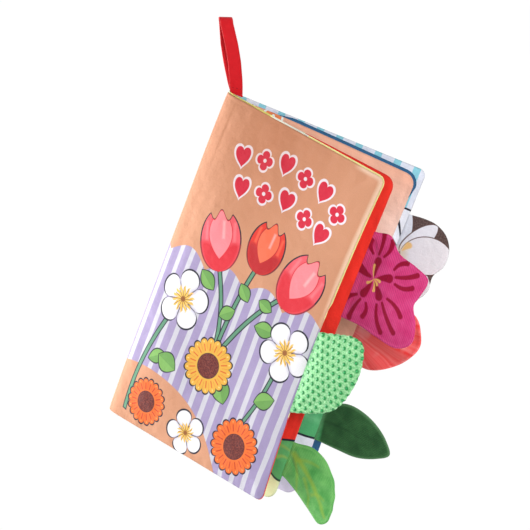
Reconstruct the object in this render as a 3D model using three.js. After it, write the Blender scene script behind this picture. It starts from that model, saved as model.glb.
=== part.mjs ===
// A crinkle cloth book for babies: four padded leaves on one sewn fold, six fabric tails sewn into their
// fore edges, and a ribbon loop at the top of the fold. Millimetres, +Z up along the fold, +X from the fold
// to the fore edges, and the front cover faces -Y. The origin is where a hook bears inside the ribbon loop.
import * as THREE from 'three';

// The leaves.
const LEAF_REACH = 138;
const LEAF_HEIGHT = 234;
const COVER_CORNER = 5;
const PAGE_CORNER = 8;
const LEAST_CORNER = 1.2;
const HEM_WIDTH = 3;
const HEM_HALF = 0.65;
const PAD_HALF = 2;
const PAD_RISE = 15;
const FOLD_HALF = 0.8;
const FOLD_RISE = 12;
const FOLD_SWELL = 1.6;

// The layers of a leaf and of a tail.
const LEAF_CLOTH = 0.5;
const TAIL_CLOTH = 0.4;
const FILM = 0.3;
const LAYER_GAP = 0.3;
const FILLING_INSET = 8;

// Each leaf: how far it is fanned out, where it lies in the pile at the fold, how far from the fold its
// padding starts, how far its fore edge is drawn in at mid height, and how round its corners are. The
// covers start further out, because their cloth goes round the other leaves at the fold.
const COVER_START = 7;
const INNER_START = 2;
const LEAVES = {
  front_cover: { angle: 26.8, offset: -5, start: COVER_START, bow: 5, corner: COVER_CORNER },
  second_leaf: { angle: 22.6, offset: -1.65, start: INNER_START, bow: 1.5, corner: PAGE_CORNER },
  third_leaf: { angle: 10.8, offset: 1.65, start: INNER_START, bow: 1.5, corner: PAGE_CORNER },
  back_cover: { angle: 0, offset: 5, start: COVER_START, bow: 1.5, corner: COVER_CORNER },
};

// The fold.
const FOLD_GAP = 0.3;
const COVER_BULGE = 7.4;
const CENTRE_BULGE = 2.8;
const BULGE_PER_LAYER = 1.07;
const FOLD_STEPS = 12;
const STITCHING_WIDE = 0.6;
const STITCHING_DEEP = 0.7;
const STITCHING_FROM_EDGE = 3;

// The tails: the gap that their root bends in, and how thick they are at the edge.
const ROOT_GAP = 0.7;
const TAIL_EDGE_HALF = 0.55;
const TAIL_STEPS = 20;

// The ribbon loop.
const RIBBON_WIDTH = 9;
const RIBBON_THICK = 0.6;
const RIBBON_LEAN = 27.5;
const RIBBON_ROOT_X = 0.8;
const RIBBON_ROOT_GAP = 0.75;
const RIBBON_ROOT_HEIGHT = 9;
const LOOP_LENGTH = 52;
const LOOP_HALF_WIDE = 3.8;
const LOOP_STEPS = 9;

const COLOURS = {
  peach: 0xdca27c,
  salmon: 0xeeb89a,
  red: 0xe0303a,
  navy: 0x2f6288,
  aqua: 0x9fd2e2,
  cream: 0xe6e2a4,
  film: 0xe8eef2,
  wadding: 0xf4f2ee,
  minky: 0x8fdc98,
  leaf: 0x53a14d,
  magenta: 0xbe2f85,
  green: 0x33663f,
  coral: 0xea5a55,
  white: 0xf3efe6,
  ribbon: 0xe1202d,
  thread: 0xf0ece2,
};

const book = new THREE.Group();

function addMesh(parent, name, geometry, colour, roughness) {
  const material = new THREE.MeshStandardMaterial({ color: colour, roughness, metalness: 0 });
  const mesh = new THREE.Mesh(geometry, material);
  mesh.name = name;
  parent.add(mesh);
  return mesh;
}

// A closed body from rings of equal length, from the back cap to the front cap. Each ring runs
// anticlockwise seen from the front, and each cap is a fan about its own middle point. The back half's
// quads are split like those in front of them, so that layers that lie on each other nest.
function loft(rings, backMiddle, frontMiddle) {
  const count = rings[0].length;
  const points = rings.flat();
  const faces = [];
  for (let r = 0; r < rings.length - 1; r += 1) {
    const behind = r < rings.length / 2;
    for (let i = 0; i < count; i += 1) {
      const a = r * count + i;
      const b = r * count + ((i + 1) % count);
      if (behind) faces.push(a, b, a + count, b, b + count, a + count);
      else faces.push(a, b, b + count, a, b + count, a + count);
    }
  }
  const back = points.push(backMiddle) - 1;
  const front = points.push(frontMiddle) - 1;
  const last = (rings.length - 1) * count;
  for (let i = 0; i < count; i += 1) {
    const next = (i + 1) % count;
    faces.push(back, next, i, front, last + i, last + next);
  }
  const geometry = new THREE.BufferGeometry().setFromPoints(points);
  geometry.setIndex(faces);
  geometry.computeVertexNormals();
  return geometry;
}

// The fore edge of a leaf at a height: straight but for the bow that draws it in at the middle.
function foreEdge(leaf, z) {
  const fromMiddle = (2 * z) / LEAF_HEIGHT - 1;
  return LEAF_REACH - leaf.bow * (1 - fromMiddle * fromMiddle);
}

// The outline of a leaf, drawn in by a distance, anticlockwise seen from the front.
function leafRing(leaf, inset) {
  const ARC_STEPS = 4;
  const FORE_STEPS = 5;
  const radius = Math.max(leaf.corner - inset, LEAST_CORNER);
  const left = leaf.start + inset;
  const low = inset;
  const high = LEAF_HEIGHT - inset;
  const lowX = foreEdge(leaf, low + radius) - inset;
  const highX = foreEdge(leaf, high - radius) - inset;
  const ring = [[left, low], [(left + lowX) / 2, low]];
  for (let i = 0; i <= ARC_STEPS; i += 1) {
    const turn = (Math.PI / 2) * (i / ARC_STEPS);
    ring.push([lowX - radius * (1 - Math.sin(turn)), low + radius * (1 - Math.cos(turn))]);
  }
  for (let i = 1; i < FORE_STEPS; i += 1) {
    const z = THREE.MathUtils.lerp(low + radius, high - radius, i / FORE_STEPS);
    ring.push([foreEdge(leaf, z) - inset, z]);
  }
  for (let i = 0; i <= ARC_STEPS; i += 1) {
    const turn = (Math.PI / 2) * (i / ARC_STEPS);
    ring.push([highX - radius * (1 - Math.cos(turn)), high - radius * (1 - Math.sin(turn))]);
  }
  ring.push([(left + highX) / 2, high], [left, high], [left, LEAF_HEIGHT / 2]);
  return ring;
}

// Half the thickness of a leaf: flat at the hem, then swelling to the padded middle, and slimmer towards
// the fold, where the leaves lie close.
function leafHalf(leaf, inset, x) {
  const rise = THREE.MathUtils.clamp((inset - HEM_WIDTH) / PAD_RISE, 0, 1);
  const padded = HEM_HALF + (PAD_HALF - HEM_HALF) * Math.sin((Math.PI / 2) * rise);
  const atFold = FOLD_HALF + FOLD_SWELL * (1 - Math.exp((leaf.start - x) / FOLD_RISE));
  return Math.min(padded, atFold);
}

// One layer of a leaf between two depths, which are functions of its half thickness.
function leafLayer(leaf, insets, backDepth, frontDepth) {
  const ringAt = (inset, depth) =>
    leafRing(leaf, inset).map(([x, z]) => new THREE.Vector3(x, -depth(leafHalf(leaf, inset, x)), z));
  const middle = (depth) =>
    new THREE.Vector3((leaf.start + LEAF_REACH) / 2, -depth(PAD_HALF), LEAF_HEIGHT / 2);
  const inward = insets.map((inset) => ringAt(inset, frontDepth));
  const outward = [...insets].reverse().map((inset) => ringAt(inset, backDepth));
  return loft([...outward, ...inward], middle(backDepth), middle(frontDepth));
}

const PAD_FULL = HEM_WIDTH + PAD_RISE;
const RISE_SHARES = [0, 0.2, 0.5, 1];
const CLOTH_INSETS = [0, ...RISE_SHARES.map((share) => HEM_WIDTH + PAD_RISE * share)];
const FILLING_INSETS = [FILLING_INSET, (FILLING_INSET + PAD_FULL) / 2, PAD_FULL];

// The four layers of each leaf, front to back: cloth, crinkle film, wadding, cloth.
const UNDER_CLOTH = LEAF_CLOTH + LAYER_GAP;
const UNDER_FILM = UNDER_CLOTH + FILM + LAYER_GAP;
const leafGroups = {};
const LEAF_CLOTHS = {
  front_cover: [['front_cover_cloth', COLOURS.peach], ['front_cover_page', COLOURS.cream]],
  second_leaf: [['second_leaf_front_page', COLOURS.red], ['second_leaf_back_page', COLOURS.aqua]],
  third_leaf: [['third_leaf_front_page', COLOURS.salmon], ['third_leaf_back_page', COLOURS.navy]],
  back_cover: [['back_cover_page', COLOURS.aqua], ['back_cover_cloth', COLOURS.peach]],
};
for (const [name, leaf] of Object.entries(LEAVES)) {
  const turned = new THREE.Group();
  turned.rotation.z = -THREE.MathUtils.degToRad(leaf.angle);
  const placed = new THREE.Group();
  placed.position.y = leaf.offset;
  turned.add(placed);
  book.add(turned);
  leafGroups[name] = placed;
  const [[frontName, frontColour], [backName, backColour]] = LEAF_CLOTHS[name];
  const cloth = (depthBack, depthFront) => leafLayer(leaf, CLOTH_INSETS, depthBack, depthFront);
  const filling = (depthBack, depthFront) => leafLayer(leaf, FILLING_INSETS, depthBack, depthFront);
  addMesh(placed, frontName, cloth((h) => h - LEAF_CLOTH, (h) => h), frontColour, 0.9);
  addMesh(placed, `${name}_crinkle_film`, filling((h) => h - UNDER_CLOTH - FILM, (h) => h - UNDER_CLOTH),
    COLOURS.film, 0.3);
  addMesh(placed, `${name}_wadding`, filling((h) => UNDER_CLOTH - h, (h) => h - UNDER_FILM),
    COLOURS.wadding, 1);
  addMesh(placed, backName, cloth((h) => -h, (h) => LEAF_CLOTH - h), backColour, 0.9);
}

// The fold: each of the four cloth layers of the two sheets goes round it from a front leaf to a back leaf.
function inBook(leaf, x, y) {
  const turn = THREE.MathUtils.degToRad(leaf.angle);
  const across = leaf.offset + y;
  return new THREE.Vector2(x * Math.cos(turn) + across * Math.sin(turn),
    -x * Math.sin(turn) + across * Math.cos(turn));
}

function foldStrip(frontLeaf, backLeaf, layer, bulge) {
  const start = inBook(frontLeaf, frontLeaf.start - FOLD_GAP, -layer);
  const startHandle = inBook(frontLeaf, -bulge, -layer);
  const finish = inBook(backLeaf, backLeaf.start - FOLD_GAP, layer);
  const finishHandle = inBook(backLeaf, -bulge, layer);
  const path = new THREE.CubicBezierCurve(start, startHandle, finishHandle, finish);
  const sides = [1, -1].map((side) => {
    const points = [];
    for (let i = 0; i <= FOLD_STEPS; i += 1) {
      const tangent = path.getTangent(i / FOLD_STEPS);
      const normal = new THREE.Vector2(tangent.y, -tangent.x);
      points.push(path.getPoint(i / FOLD_STEPS).addScaledVector(normal, (side * LEAF_CLOTH) / 2));
    }
    return points;
  });
  const shape = new THREE.Shape([...sides[0], ...sides[1].reverse()]);
  return new THREE.ExtrudeGeometry(shape, { depth: LEAF_HEIGHT, bevelEnabled: false });
}

const { front_cover: FRONT, second_leaf: SECOND, third_leaf: THIRD, back_cover: BACK } = LEAVES;
const CLOTH_MIDDLE = HEM_HALF - LEAF_CLOTH / 2;
addMesh(book, 'spine_cloth', foldStrip(FRONT, BACK, CLOTH_MIDDLE, COVER_BULGE), COLOURS.peach, 0.9);
addMesh(book, 'spine_lining', foldStrip(FRONT, BACK, -CLOTH_MIDDLE, COVER_BULGE - BULGE_PER_LAYER),
  COLOURS.cream, 0.9);
addMesh(book, 'centre_fold_outer', foldStrip(SECOND, THIRD, CLOTH_MIDDLE, CENTRE_BULGE), COLOURS.red, 0.9);
addMesh(book, 'centre_fold_inner', foldStrip(SECOND, THIRD, -CLOTH_MIDDLE, CENTRE_BULGE - BULGE_PER_LAYER),
  COLOURS.aqua, 0.9);

function centreStitching() {
  const geometry = new THREE.BoxGeometry(STITCHING_WIDE, STITCHING_DEEP,
    LEAF_HEIGHT - STITCHING_FROM_EDGE);
  return geometry.translate(0, 0, (LEAF_HEIGHT + STITCHING_FROM_EDGE) / 2);
}

addMesh(book, 'centre_stitching', centreStitching(), COLOURS.thread, 0.8);

// A tail is a flat shape of two cloths, mostly with a filling between them, sewn into a fore edge. Its
// outline goes from the top of its root round the tip to the bottom of its root, in shares of its length
// across and of its span up. Its middle surface bows forward or back towards the tip and may be wavy.
const TAILS = {
  minky_leaf: {
    leaf: 'front_cover', length: 40, span: 67, low: 64, puff: 1.9, bend: 3,
    filling: 'wadding', face: COLOURS.minky,
    outlineShares: [[0, 0.86], [0.35, 0.94], [0.62, 0.99], [0.86, 0.97], [0.99, 0.8], [1, 0.58],
      [0.84, 0.3], [0.6, 0.17], [0.3, 0.08], [0, 0]],
  },
  veined_leaf: {
    leaf: 'second_leaf', length: 46, span: 43, low: 3, puff: 1.5, bend: 4, wave: 0.35, pitch: 9,
    filling: 'wadding', face: COLOURS.leaf,
    outlineShares: [[0, 0.93], [0.3, 1], [0.6, 0.91], [0.87, 0.67], [0.99, 0.33], [0.98, 0.09],
      [0.87, 0], [0.7, 0.05], [0.4, 0.2], [0, 0.37]],
  },
  blossom: {
    leaf: 'second_leaf', length: 55, span: 66, low: 133.5, puff: 1.7, bend: 2,
    filling: 'wadding', face: COLOURS.magenta,
    outlineShares: [[0, 0.95], [0.2, 0.99], [0.4, 0.87], [0.68, 0.83], [0.9, 0.77], [0.87, 0.57],
      [0.84, 0.47], [0.96, 0.3], [1, 0.12], [0.83, 0], [0.5, 0], [0.25, 0.02], [0, 0.01]],
  },
  dark_leaf: {
    leaf: 'third_leaf', length: 51, span: 32, low: 42, puff: 1.3, bend: -2,
    filling: 'film', face: COLOURS.green,
    outlineShares: [[0, 0.78], [0.14, 0.94], [0.28, 1], [0.47, 0.97], [0.68, 0.85], [0.88, 0.63],
      [1, 0.36], [0.85, 0.17], [0.6, 0.02], [0.3, 0], [0, 0]],
  },
  organza_petal: {
    leaf: 'third_leaf', length: 45, span: 51, low: 101, puff: 0.75, bend: 3, wave: 0.9, pitch: 17,
    filling: null, face: COLOURS.coral,
    outlineShares: [[0, 0.96], [0.28, 1], [0.55, 0.98], [0.8, 0.91], [0.95, 0.76], [1, 0.54],
      [0.88, 0.33], [0.65, 0.13], [0.37, 0], [0.15, 0.01], [0, 0.08]],
  },
  printed_petal: {
    leaf: 'back_cover', length: 34, span: 54, low: 151, puff: 1.3, bend: 2,
    filling: 'film', face: COLOURS.white,
    outlineShares: [[0, 0.95], [0.27, 0.97], [0.55, 0.96], [0.82, 0.87], [0.98, 0.7], [0.98, 0.5],
      [0.85, 0.34], [0.86, 0.14], [0.72, 0], [0.4, 0], [0, 0.13]],
  },
};
const HEM_SHARE = 0.92;
const CLOTH_RING_SHARES = [1, HEM_SHARE, 0.75, 0.42];
const FILLING_RING_SHARES = CLOTH_RING_SHARES.slice(2);

// The outline of a tail as points of its leaf's plane: a smooth curve through the shares, and the straight
// root that closes it. Points run anticlockwise seen from the front.
function tailOutline(tail) {
  const ROOT_STEPS = 3;
  const through = tail.outlineShares.map(([u, z]) =>
    new THREE.Vector3(u * tail.length, 0, tail.low + z * tail.span));
  const curve = new THREE.CatmullRomCurve3([...through].reverse(), false, 'centripetal');
  const points = curve.getSpacedPoints(TAIL_STEPS - ROOT_STEPS);
  const bottom = points[0];
  const top = points[points.length - 1];
  for (let i = 1; i < ROOT_STEPS; i += 1) points.push(top.clone().lerp(bottom, i / ROOT_STEPS));
  return points;
}

function tailHalf(tail, share) {
  const inside = Math.min(share / HEM_SHARE, 1);
  return TAIL_EDGE_HALF + (tail.puff - TAIL_EDGE_HALF) * Math.sqrt(1 - inside * inside);
}

// How far forward the middle surface of a tail lies at a point of the leaf's plane.
function tailBow(tail, u, z) {
  const along = u / tail.length;
  const bent = tail.bend * along * along;
  if (!tail.wave) return bent;
  return bent + tail.wave * Math.min(along * 2, 1) * Math.sin((2 * Math.PI * z) / tail.pitch);
}

function tailLayer(tail, ringShares, backDepth, frontDepth) {
  const outline = tailOutline(tail);
  const middle = outline.reduce((sum, p) => sum.add(p), new THREE.Vector3()).divideScalar(outline.length);
  const place = (point, share, depth) => {
    const at = middle.clone().lerp(point, share);
    at.y = -tailBow(tail, at.x, at.z) - depth(tailHalf(tail, share));
    return at;
  };
  const ringAt = (share, depth) => outline.map((point) => place(point, share, depth));
  const inward = ringShares.map((share) => ringAt(share, frontDepth));
  const outward = [...ringShares].reverse().map((share) => ringAt(share, backDepth));
  return loft([...outward, ...inward], place(middle, 0, backDepth), place(middle, 0, frontDepth));
}

for (const [name, tail] of Object.entries(TAILS)) {
  const leaf = LEAVES[tail.leaf];
  const rootEnds = [tail.outlineShares[0], tail.outlineShares.at(-1)];
  const rootEdge = Math.max(...rootEnds.map(([, share]) => foreEdge(leaf, tail.low + share * tail.span)));
  const placed = new THREE.Group();
  placed.position.x = rootEdge + ROOT_GAP;
  leafGroups[tail.leaf].add(placed);
  const clothLayer = (back, front) => tailLayer(tail, CLOTH_RING_SHARES, back, front);
  addMesh(placed, `${name}_face`, clothLayer((h) => h - TAIL_CLOTH, (h) => h), tail.face, 0.95);
  addMesh(placed, `${name}_back`, clothLayer((h) => -h, (h) => TAIL_CLOTH - h), tail.face, 0.95);
  if (tail.filling) {
    const under = TAIL_CLOTH + LAYER_GAP;
    const half = tail.filling === 'film' ? (h) => Math.min(h - under, FILM / 2) : (h) => h - under;
    const geometry = tailLayer(tail, FILLING_RING_SHARES, (h) => -half(h), half);
    addMesh(placed, `${name}_${tail.filling}`, geometry, COLOURS[tail.filling], 0.8);
  }
}

// The ribbon loop: two strands that meet at the root and part towards the round top. Its side view is drawn
// as a shape across Y and up, given the ribbon's width along X, and then leant over above its root.
const HOOK_HEIGHT = LOOP_LENGTH - LOOP_HALF_WIDE;
const PARTING_POWER = 1.4;

function strandFromMiddle(height) {
  const parted = Math.max(height - RIBBON_ROOT_HEIGHT, 0) / (HOOK_HEIGHT - RIBBON_ROOT_HEIGHT);
  return (LOOP_HALF_WIDE - RIBBON_THICK) * Math.pow(parted, PARTING_POWER);
}

function ribbonLoop() {
  const outline = (grown, foot) => {
    const up = [];
    for (let i = 0; i <= LOOP_STEPS; i += 1) {
      const height = THREE.MathUtils.lerp(foot, HOOK_HEIGHT, i / LOOP_STEPS);
      up.push(new THREE.Vector2(strandFromMiddle(height) + grown, height));
    }
    const radius = LOOP_HALF_WIDE - RIBBON_THICK + grown;
    for (let i = 1; i < LOOP_STEPS; i += 1) {
      const turn = (Math.PI * i) / LOOP_STEPS;
      up.push(new THREE.Vector2(radius * Math.cos(turn), HOOK_HEIGHT + radius * Math.sin(turn)));
    }
    const down = up.slice(0, LOOP_STEPS + 1).reverse().map((p) => new THREE.Vector2(-p.x, p.y));
    return [...up, ...down];
  };
  const shape = new THREE.Shape(outline(RIBBON_THICK, 0));
  const inner = outline(0, RIBBON_ROOT_HEIGHT);
  inner.pop();
  shape.holes.push(new THREE.Path(inner));
  const geometry = new THREE.ExtrudeGeometry(shape, { depth: RIBBON_WIDTH, bevelEnabled: false });
  const lean = THREE.MathUtils.degToRad(RIBBON_LEAN);
  const positions = geometry.attributes.position;
  for (let i = 0; i < positions.count; i += 1) {
    const across = positions.getZ(i) - RIBBON_WIDTH / 2;
    const height = positions.getY(i);
    const tilt = lean * Math.min(height / RIBBON_ROOT_HEIGHT, 1);
    positions.setXYZ(i, -height * Math.sin(lean) + across * Math.cos(tilt), positions.getX(i),
      height * Math.cos(lean) + across * Math.sin(tilt));
  }
  geometry.computeVertexNormals();
  return geometry.translate(RIBBON_ROOT_X, 0, LEAF_HEIGHT + RIBBON_ROOT_GAP);
}

addMesh(book, 'hanging_loop', ribbonLoop(), COLOURS.ribbon, 0.5);

// The whole book is moved so that the origin is where a hook bears under the loop's round top.
const LEAN = THREE.MathUtils.degToRad(RIBBON_LEAN);
book.position.set(HOOK_HEIGHT * Math.sin(LEAN) - RIBBON_ROOT_X, 0,
  -LEAF_HEIGHT - RIBBON_ROOT_GAP - HOOK_HEIGHT * Math.cos(LEAN));

const part = new THREE.Group();
part.add(book);
export default part;
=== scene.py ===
# %% [markdown]
# # A crinkle cloth book
# The book is four padded leaves sewn on one fold, with fabric tails in the fore edges and a ribbon loop.
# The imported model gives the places: every cloth here lies on a CAD solid, so the first cell loads the model
# and measures where the fold stands. Sizes are in millimetres until a mesh is made.

import math

import bmesh
import bpy
import numpy as np
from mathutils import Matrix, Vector


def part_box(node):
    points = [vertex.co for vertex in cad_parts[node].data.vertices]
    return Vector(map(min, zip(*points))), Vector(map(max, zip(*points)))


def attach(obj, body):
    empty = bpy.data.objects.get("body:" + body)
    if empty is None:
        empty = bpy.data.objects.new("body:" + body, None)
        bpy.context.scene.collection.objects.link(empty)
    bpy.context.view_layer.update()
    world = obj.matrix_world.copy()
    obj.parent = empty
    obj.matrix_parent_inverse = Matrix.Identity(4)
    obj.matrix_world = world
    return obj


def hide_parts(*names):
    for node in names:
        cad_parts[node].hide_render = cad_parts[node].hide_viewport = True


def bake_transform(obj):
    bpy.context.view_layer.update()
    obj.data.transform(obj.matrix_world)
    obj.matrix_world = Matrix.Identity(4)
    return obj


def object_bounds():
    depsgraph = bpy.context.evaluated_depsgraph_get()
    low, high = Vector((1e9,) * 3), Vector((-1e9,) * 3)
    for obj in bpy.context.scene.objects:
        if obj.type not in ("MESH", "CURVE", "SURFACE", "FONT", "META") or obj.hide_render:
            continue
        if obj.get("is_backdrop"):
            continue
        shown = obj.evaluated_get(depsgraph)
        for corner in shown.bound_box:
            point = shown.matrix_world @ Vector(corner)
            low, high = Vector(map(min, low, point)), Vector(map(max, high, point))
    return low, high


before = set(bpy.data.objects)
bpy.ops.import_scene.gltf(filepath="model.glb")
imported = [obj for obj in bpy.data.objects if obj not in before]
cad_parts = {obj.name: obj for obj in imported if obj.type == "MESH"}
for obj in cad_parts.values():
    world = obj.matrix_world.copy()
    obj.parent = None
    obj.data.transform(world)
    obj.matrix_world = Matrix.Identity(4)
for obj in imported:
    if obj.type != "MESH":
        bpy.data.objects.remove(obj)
cad_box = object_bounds()
MM = 0.001
LEAF_HEIGHT = 234.0
stitch_low, stitch_high = (np.array(corner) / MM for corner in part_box("centre_stitching"))
fold_at = (stitch_low + stitch_high) / 2
fold_at[2] = stitch_high[2] - LEAF_HEIGHT
print("the fold's foot stands at", fold_at.round(2), "mm")

# %% [markdown]
# # The camera
# The photograph was taken from far off with a long lens, and the camera was rolled, so the book hangs
# upright here and the camera does the tilting. A long lens keeps the leaves' edges nearly parallel.

# %% Place the camera
TARGET = np.array([60.0, -10.0, 117.0])
AZIMUTH, ELEVATION, ROLL = (math.radians(degrees) for degrees in (6.614, 13.754, 20.796))
FROM_TARGET, ASIDE, ABOVE = 3600.0, 7.16, 17.25
LENS, SENSOR = 366.06, 36.0
back = np.array([math.sin(AZIMUTH) * math.cos(ELEVATION), -math.cos(AZIMUTH) * math.cos(ELEVATION),
                 math.sin(ELEVATION)])
level = np.array([math.cos(AZIMUTH), math.sin(AZIMUTH), 0.0])
upright = np.cross(back, level)
right = math.cos(ROLL) * level + math.sin(ROLL) * upright
up = -math.sin(ROLL) * level + math.cos(ROLL) * upright
seen_middle = TARGET + fold_at + ASIDE * right + ABOVE * up
camera = bpy.data.objects.new("camera", bpy.data.cameras.new("camera"))
bpy.context.collection.objects.link(camera)
turned = np.eye(4)
turned[:3, :3] = np.stack([right, up, back], axis=1)
turned[:3, 3] = (seen_middle + FROM_TARGET * back) * MM
camera.matrix_world = turned.T.tolist()
camera.data.lens, camera.data.sensor_width = LENS, SENSOR
camera.data.clip_start, camera.data.clip_end = 0.1, 100.0
bpy.context.scene.camera = camera
print("the camera looks at", seen_middle.round(1), "mm")

# %% [markdown]
# # Leaves as numbers
# A leaf is a flat pillow: its two cloths meet at the sewn edge and swell apart over a hem. One function
# gives half its thickness anywhere, and both cloths, the film and the wadding are read from it, so they
# nest as they do in the real book.

# %% The leaves' sizes
LEAF_REACH = 138.0
HEM_WIDTH, HEM_HALF, PAD_HALF, PAD_RISE = 3.0, 0.65, 2.0, 15.0
FOLD_HALF, FOLD_RISE, FOLD_SWELL = 0.8, 12.0, 1.6
EDGE_ROLL = 1.0
MEASURES = ("angle", "offset", "start", "bow", "corner", "sunk")
LEAVES = {
    name: dict(zip(MEASURES, measures)) for name, *measures in (
        ("front_cover", 26.8, -5.0, 7.0, 5.0, 5.0, (0.0, 22.0)),
        ("second_leaf", 22.6, -1.65, 2.0, 1.5, 8.0, (3.2, 36.0)),
        ("third_leaf", 10.8, 1.65, 2.0, 1.5, 8.0, (2.6, 22.0)),
        ("back_cover", 0.0, 5.0, 7.0, 1.5, 5.0, (0.0, 22.0)))}


def in_book(leaf, x, y, z):
    """Turns a leaf's own points into the book's: across the leaf by its offset, then turned about the fold
    by its angle."""
    turn = math.radians(leaf["angle"])
    across = leaf["offset"] + y
    return np.stack(np.broadcast_arrays(x * math.cos(turn) + across * math.sin(turn),
                                        across * math.cos(turn) - x * math.sin(turn), z), axis=-1)


def facing(leaf, side):
    """Which way a leaf's front, side 1, or back, side -1, looks in the book."""
    turn = math.radians(leaf["angle"])
    return np.array([-side * math.sin(turn), -side * math.cos(turn), 0.0])


def fore_edge(leaf, z):
    """The reach of the fore edge: the leaf's reach less a bow that is greatest at mid height and falls with
    the square of the distance from it."""
    return LEAF_REACH - leaf["bow"] * (1 - (2 * z / LEAF_HEIGHT - 1) ** 2)


NO_LIP = ((0.0, 0.0), (LEAF_HEIGHT, 0.0))
COVER_LIP = ((0.0, 0.5), (54.0, 0.5), (59.0, 0.0), (138.0, 0.0), (143.0, 1.1), (LEAF_HEIGHT, 1.1))
THIRD_LIP = ((0.0, 0.0), (219.0, 0.0), (228.0, 2.1), (LEAF_HEIGHT, 2.1))


def fore_lip(z, lip):
    """How far a lining shows beyond the fore edge, read off a table by height."""
    return np.interp(z, *zip(*lip))


def hem_distance(leaf, x, z, lip=NO_LIP):
    """The distance from the sewn edge: the least of those from the foot, head and fore edge, and in a
    rounded corner the corner's radius less the distance from its centre."""
    fore = fore_edge(leaf, z) + fore_lip(z, lip) - x
    foot = np.minimum(z, LEAF_HEIGHT + lip[-1][1] - z)
    radius = leaf["corner"] + lip[-1][1] * (z > LEAF_HEIGHT / 2)
    corner = radius - np.hypot(radius - fore, radius - foot)
    in_corner = (fore < radius) & (foot < radius)
    return np.clip(np.where(in_corner, corner, np.minimum(fore, foot)), 0, None)


def sunk(leaf, x, z):
    """How far the head has sunk beside the fold, where the stitching gathers it: a bell that falls off with
    the distance from the fold and, as a high power, with that from the head."""
    deep, reach = leaf["sunk"]
    return deep * np.exp(-np.clip(x, 0, None) / reach) * np.clip(z / LEAF_HEIGHT, 0, None) ** 8


def leaf_half(leaf, x, z, lip=NO_LIP):
    """Half a leaf's thickness: a quarter circle at the sewn edge, then a quarter sine over the hem to the
    padded middle, and never more than what the fold lets it swell to."""
    inset = hem_distance(leaf, x, z, lip)
    rolled = HEM_HALF * np.sqrt(1 - (1 - np.minimum(inset / EDGE_ROLL, 1)) ** 2)
    rise = np.clip((inset - HEM_WIDTH) / PAD_RISE, 0, 1)
    at_fold = FOLD_HALF + FOLD_SWELL * (1 - np.exp((leaf["start"] - x) / FOLD_RISE))
    return np.minimum(rolled + (PAD_HALF - HEM_HALF) * np.sin(math.pi / 2 * rise), at_fold)


middle_half = leaf_half(LEAVES["front_cover"], np.array(70.0), np.array(117.0))
print("a leaf is", round(2 * float(middle_half), 2), "mm thick at its middle")

# %% Rows and columns of a leaf
FINE_BAND, LEAST_CORNER = 4.0, 1.2


def leaf_grid(leaf, inset, fine, coarse, lip=NO_LIP):
    """Rows up and columns out to the fore edge, closer together near the sewn edges; each row's end
    follows the rounded corner."""
    def spaced(length, both):
        edge = np.arange(0, FINE_BAND, fine)
        inner = np.linspace(FINE_BAND, length - (FINE_BAND if both else 0), max(int(length / coarse), 3))
        steps = np.concatenate([edge, inner] + ([length - edge[::-1]] if both else []))
        return steps / length

    head = LEAF_HEIGHT + lip[-1][1]
    z = inset + (head - 2 * inset) * spaced(head - 2 * inset, True)[:, None]
    foot = np.minimum(z, head - z) - inset
    radius = np.maximum(leaf["corner"] - inset + lip[-1][1] * (z > LEAF_HEIGHT / 2), LEAST_CORNER)
    drawn_in = radius * (1 - np.sqrt(1 - np.clip(1 - foot / radius, 0, 1) ** 2))
    reach = fore_edge(leaf, z) + fore_lip(z, lip) - inset - drawn_in
    first = leaf["start"] + inset
    x = reach - (reach - first) * spaced(LEAF_REACH - leaf["start"] - 2 * inset, False)[None, ::-1]
    return np.broadcast_arrays(x[:, ::-1] if x[0, 0] > x[0, -1] else x, z)


print("a leaf's grid has", leaf_grid(LEAVES["front_cover"], 0.0, 0.4, 1.7)[0].shape, "rows and columns")

# %% [markdown]
# # The line round the fold
# The covers are one long sheet that goes round the spine, and the inner leaves are another. Seen from above,
# each sheet's middle follows a curve from one leaf to the other. Its length is needed before the cloths are
# made, because the print runs on round it.

# %% Draw the two sheets from above
COVER_BULGE, CENTRE_BULGE = 6.87, 2.27
BETWEEN_LEAVES = (20.0, 0.0)
SECOND_HINGE_WAY, THIRD_HINGE_WAY = 222, 90


def along_itself(points):
    """The length of a line so far, at each of its points."""
    return np.concatenate([[0], np.cumsum(np.linalg.norm(np.diff(points, axis=0), axis=1))])


def fold_line(front, back_leaf, bulge, count=241):
    """A cubic curve from the front leaf's start to the back leaf's, with handles out beyond the fold. It
    comes with its outward normals and its length so far."""
    ends = [in_book(leaf, np.array(x), np.array(0.0), np.array(0.0))[:2]
            for leaf, x in ((front, front["start"]), (front, -bulge), (back_leaf, -bulge),
                            (back_leaf, back_leaf["start"]))]
    t = np.linspace(0, 1, count)[:, None]
    line = ((1 - t) ** 3 * ends[0] + 3 * (1 - t) ** 2 * t * ends[1] + 3 * (1 - t) * t ** 2 * ends[2]
            + t ** 3 * ends[3])
    slope = np.gradient(line, axis=0)
    slope /= np.linalg.norm(slope, axis=1)[:, None]
    normal = np.stack([slope[:, 1], -slope[:, 0]], axis=1)
    outer = np.sign((normal * (line - BETWEEN_LEAVES)).sum())
    return line, normal * outer, along_itself(line)


cover_fold = fold_line(LEAVES["front_cover"], LEAVES["back_cover"], COVER_BULGE)
centre_fold = fold_line(LEAVES["second_leaf"], LEAVES["third_leaf"], CENTRE_BULGE)
way_round = np.degrees(np.arctan2(cover_fold[0][:, 1], cover_fold[0][:, 0])) % 360
CUTS = [0, int(np.argmax(way_round < SECOND_HINGE_WAY)), int(np.argmax(way_round < THIRD_HINGE_WAY)),
        len(way_round) - 1]
ROUND_SPINE = float(cover_fold[2][-1])
BEHIND = 2 * LEAVES["front_cover"]["start"] - ROUND_SPINE
print("the cover's cloth runs", round(ROUND_SPINE, 1), "mm round the spine")

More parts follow.
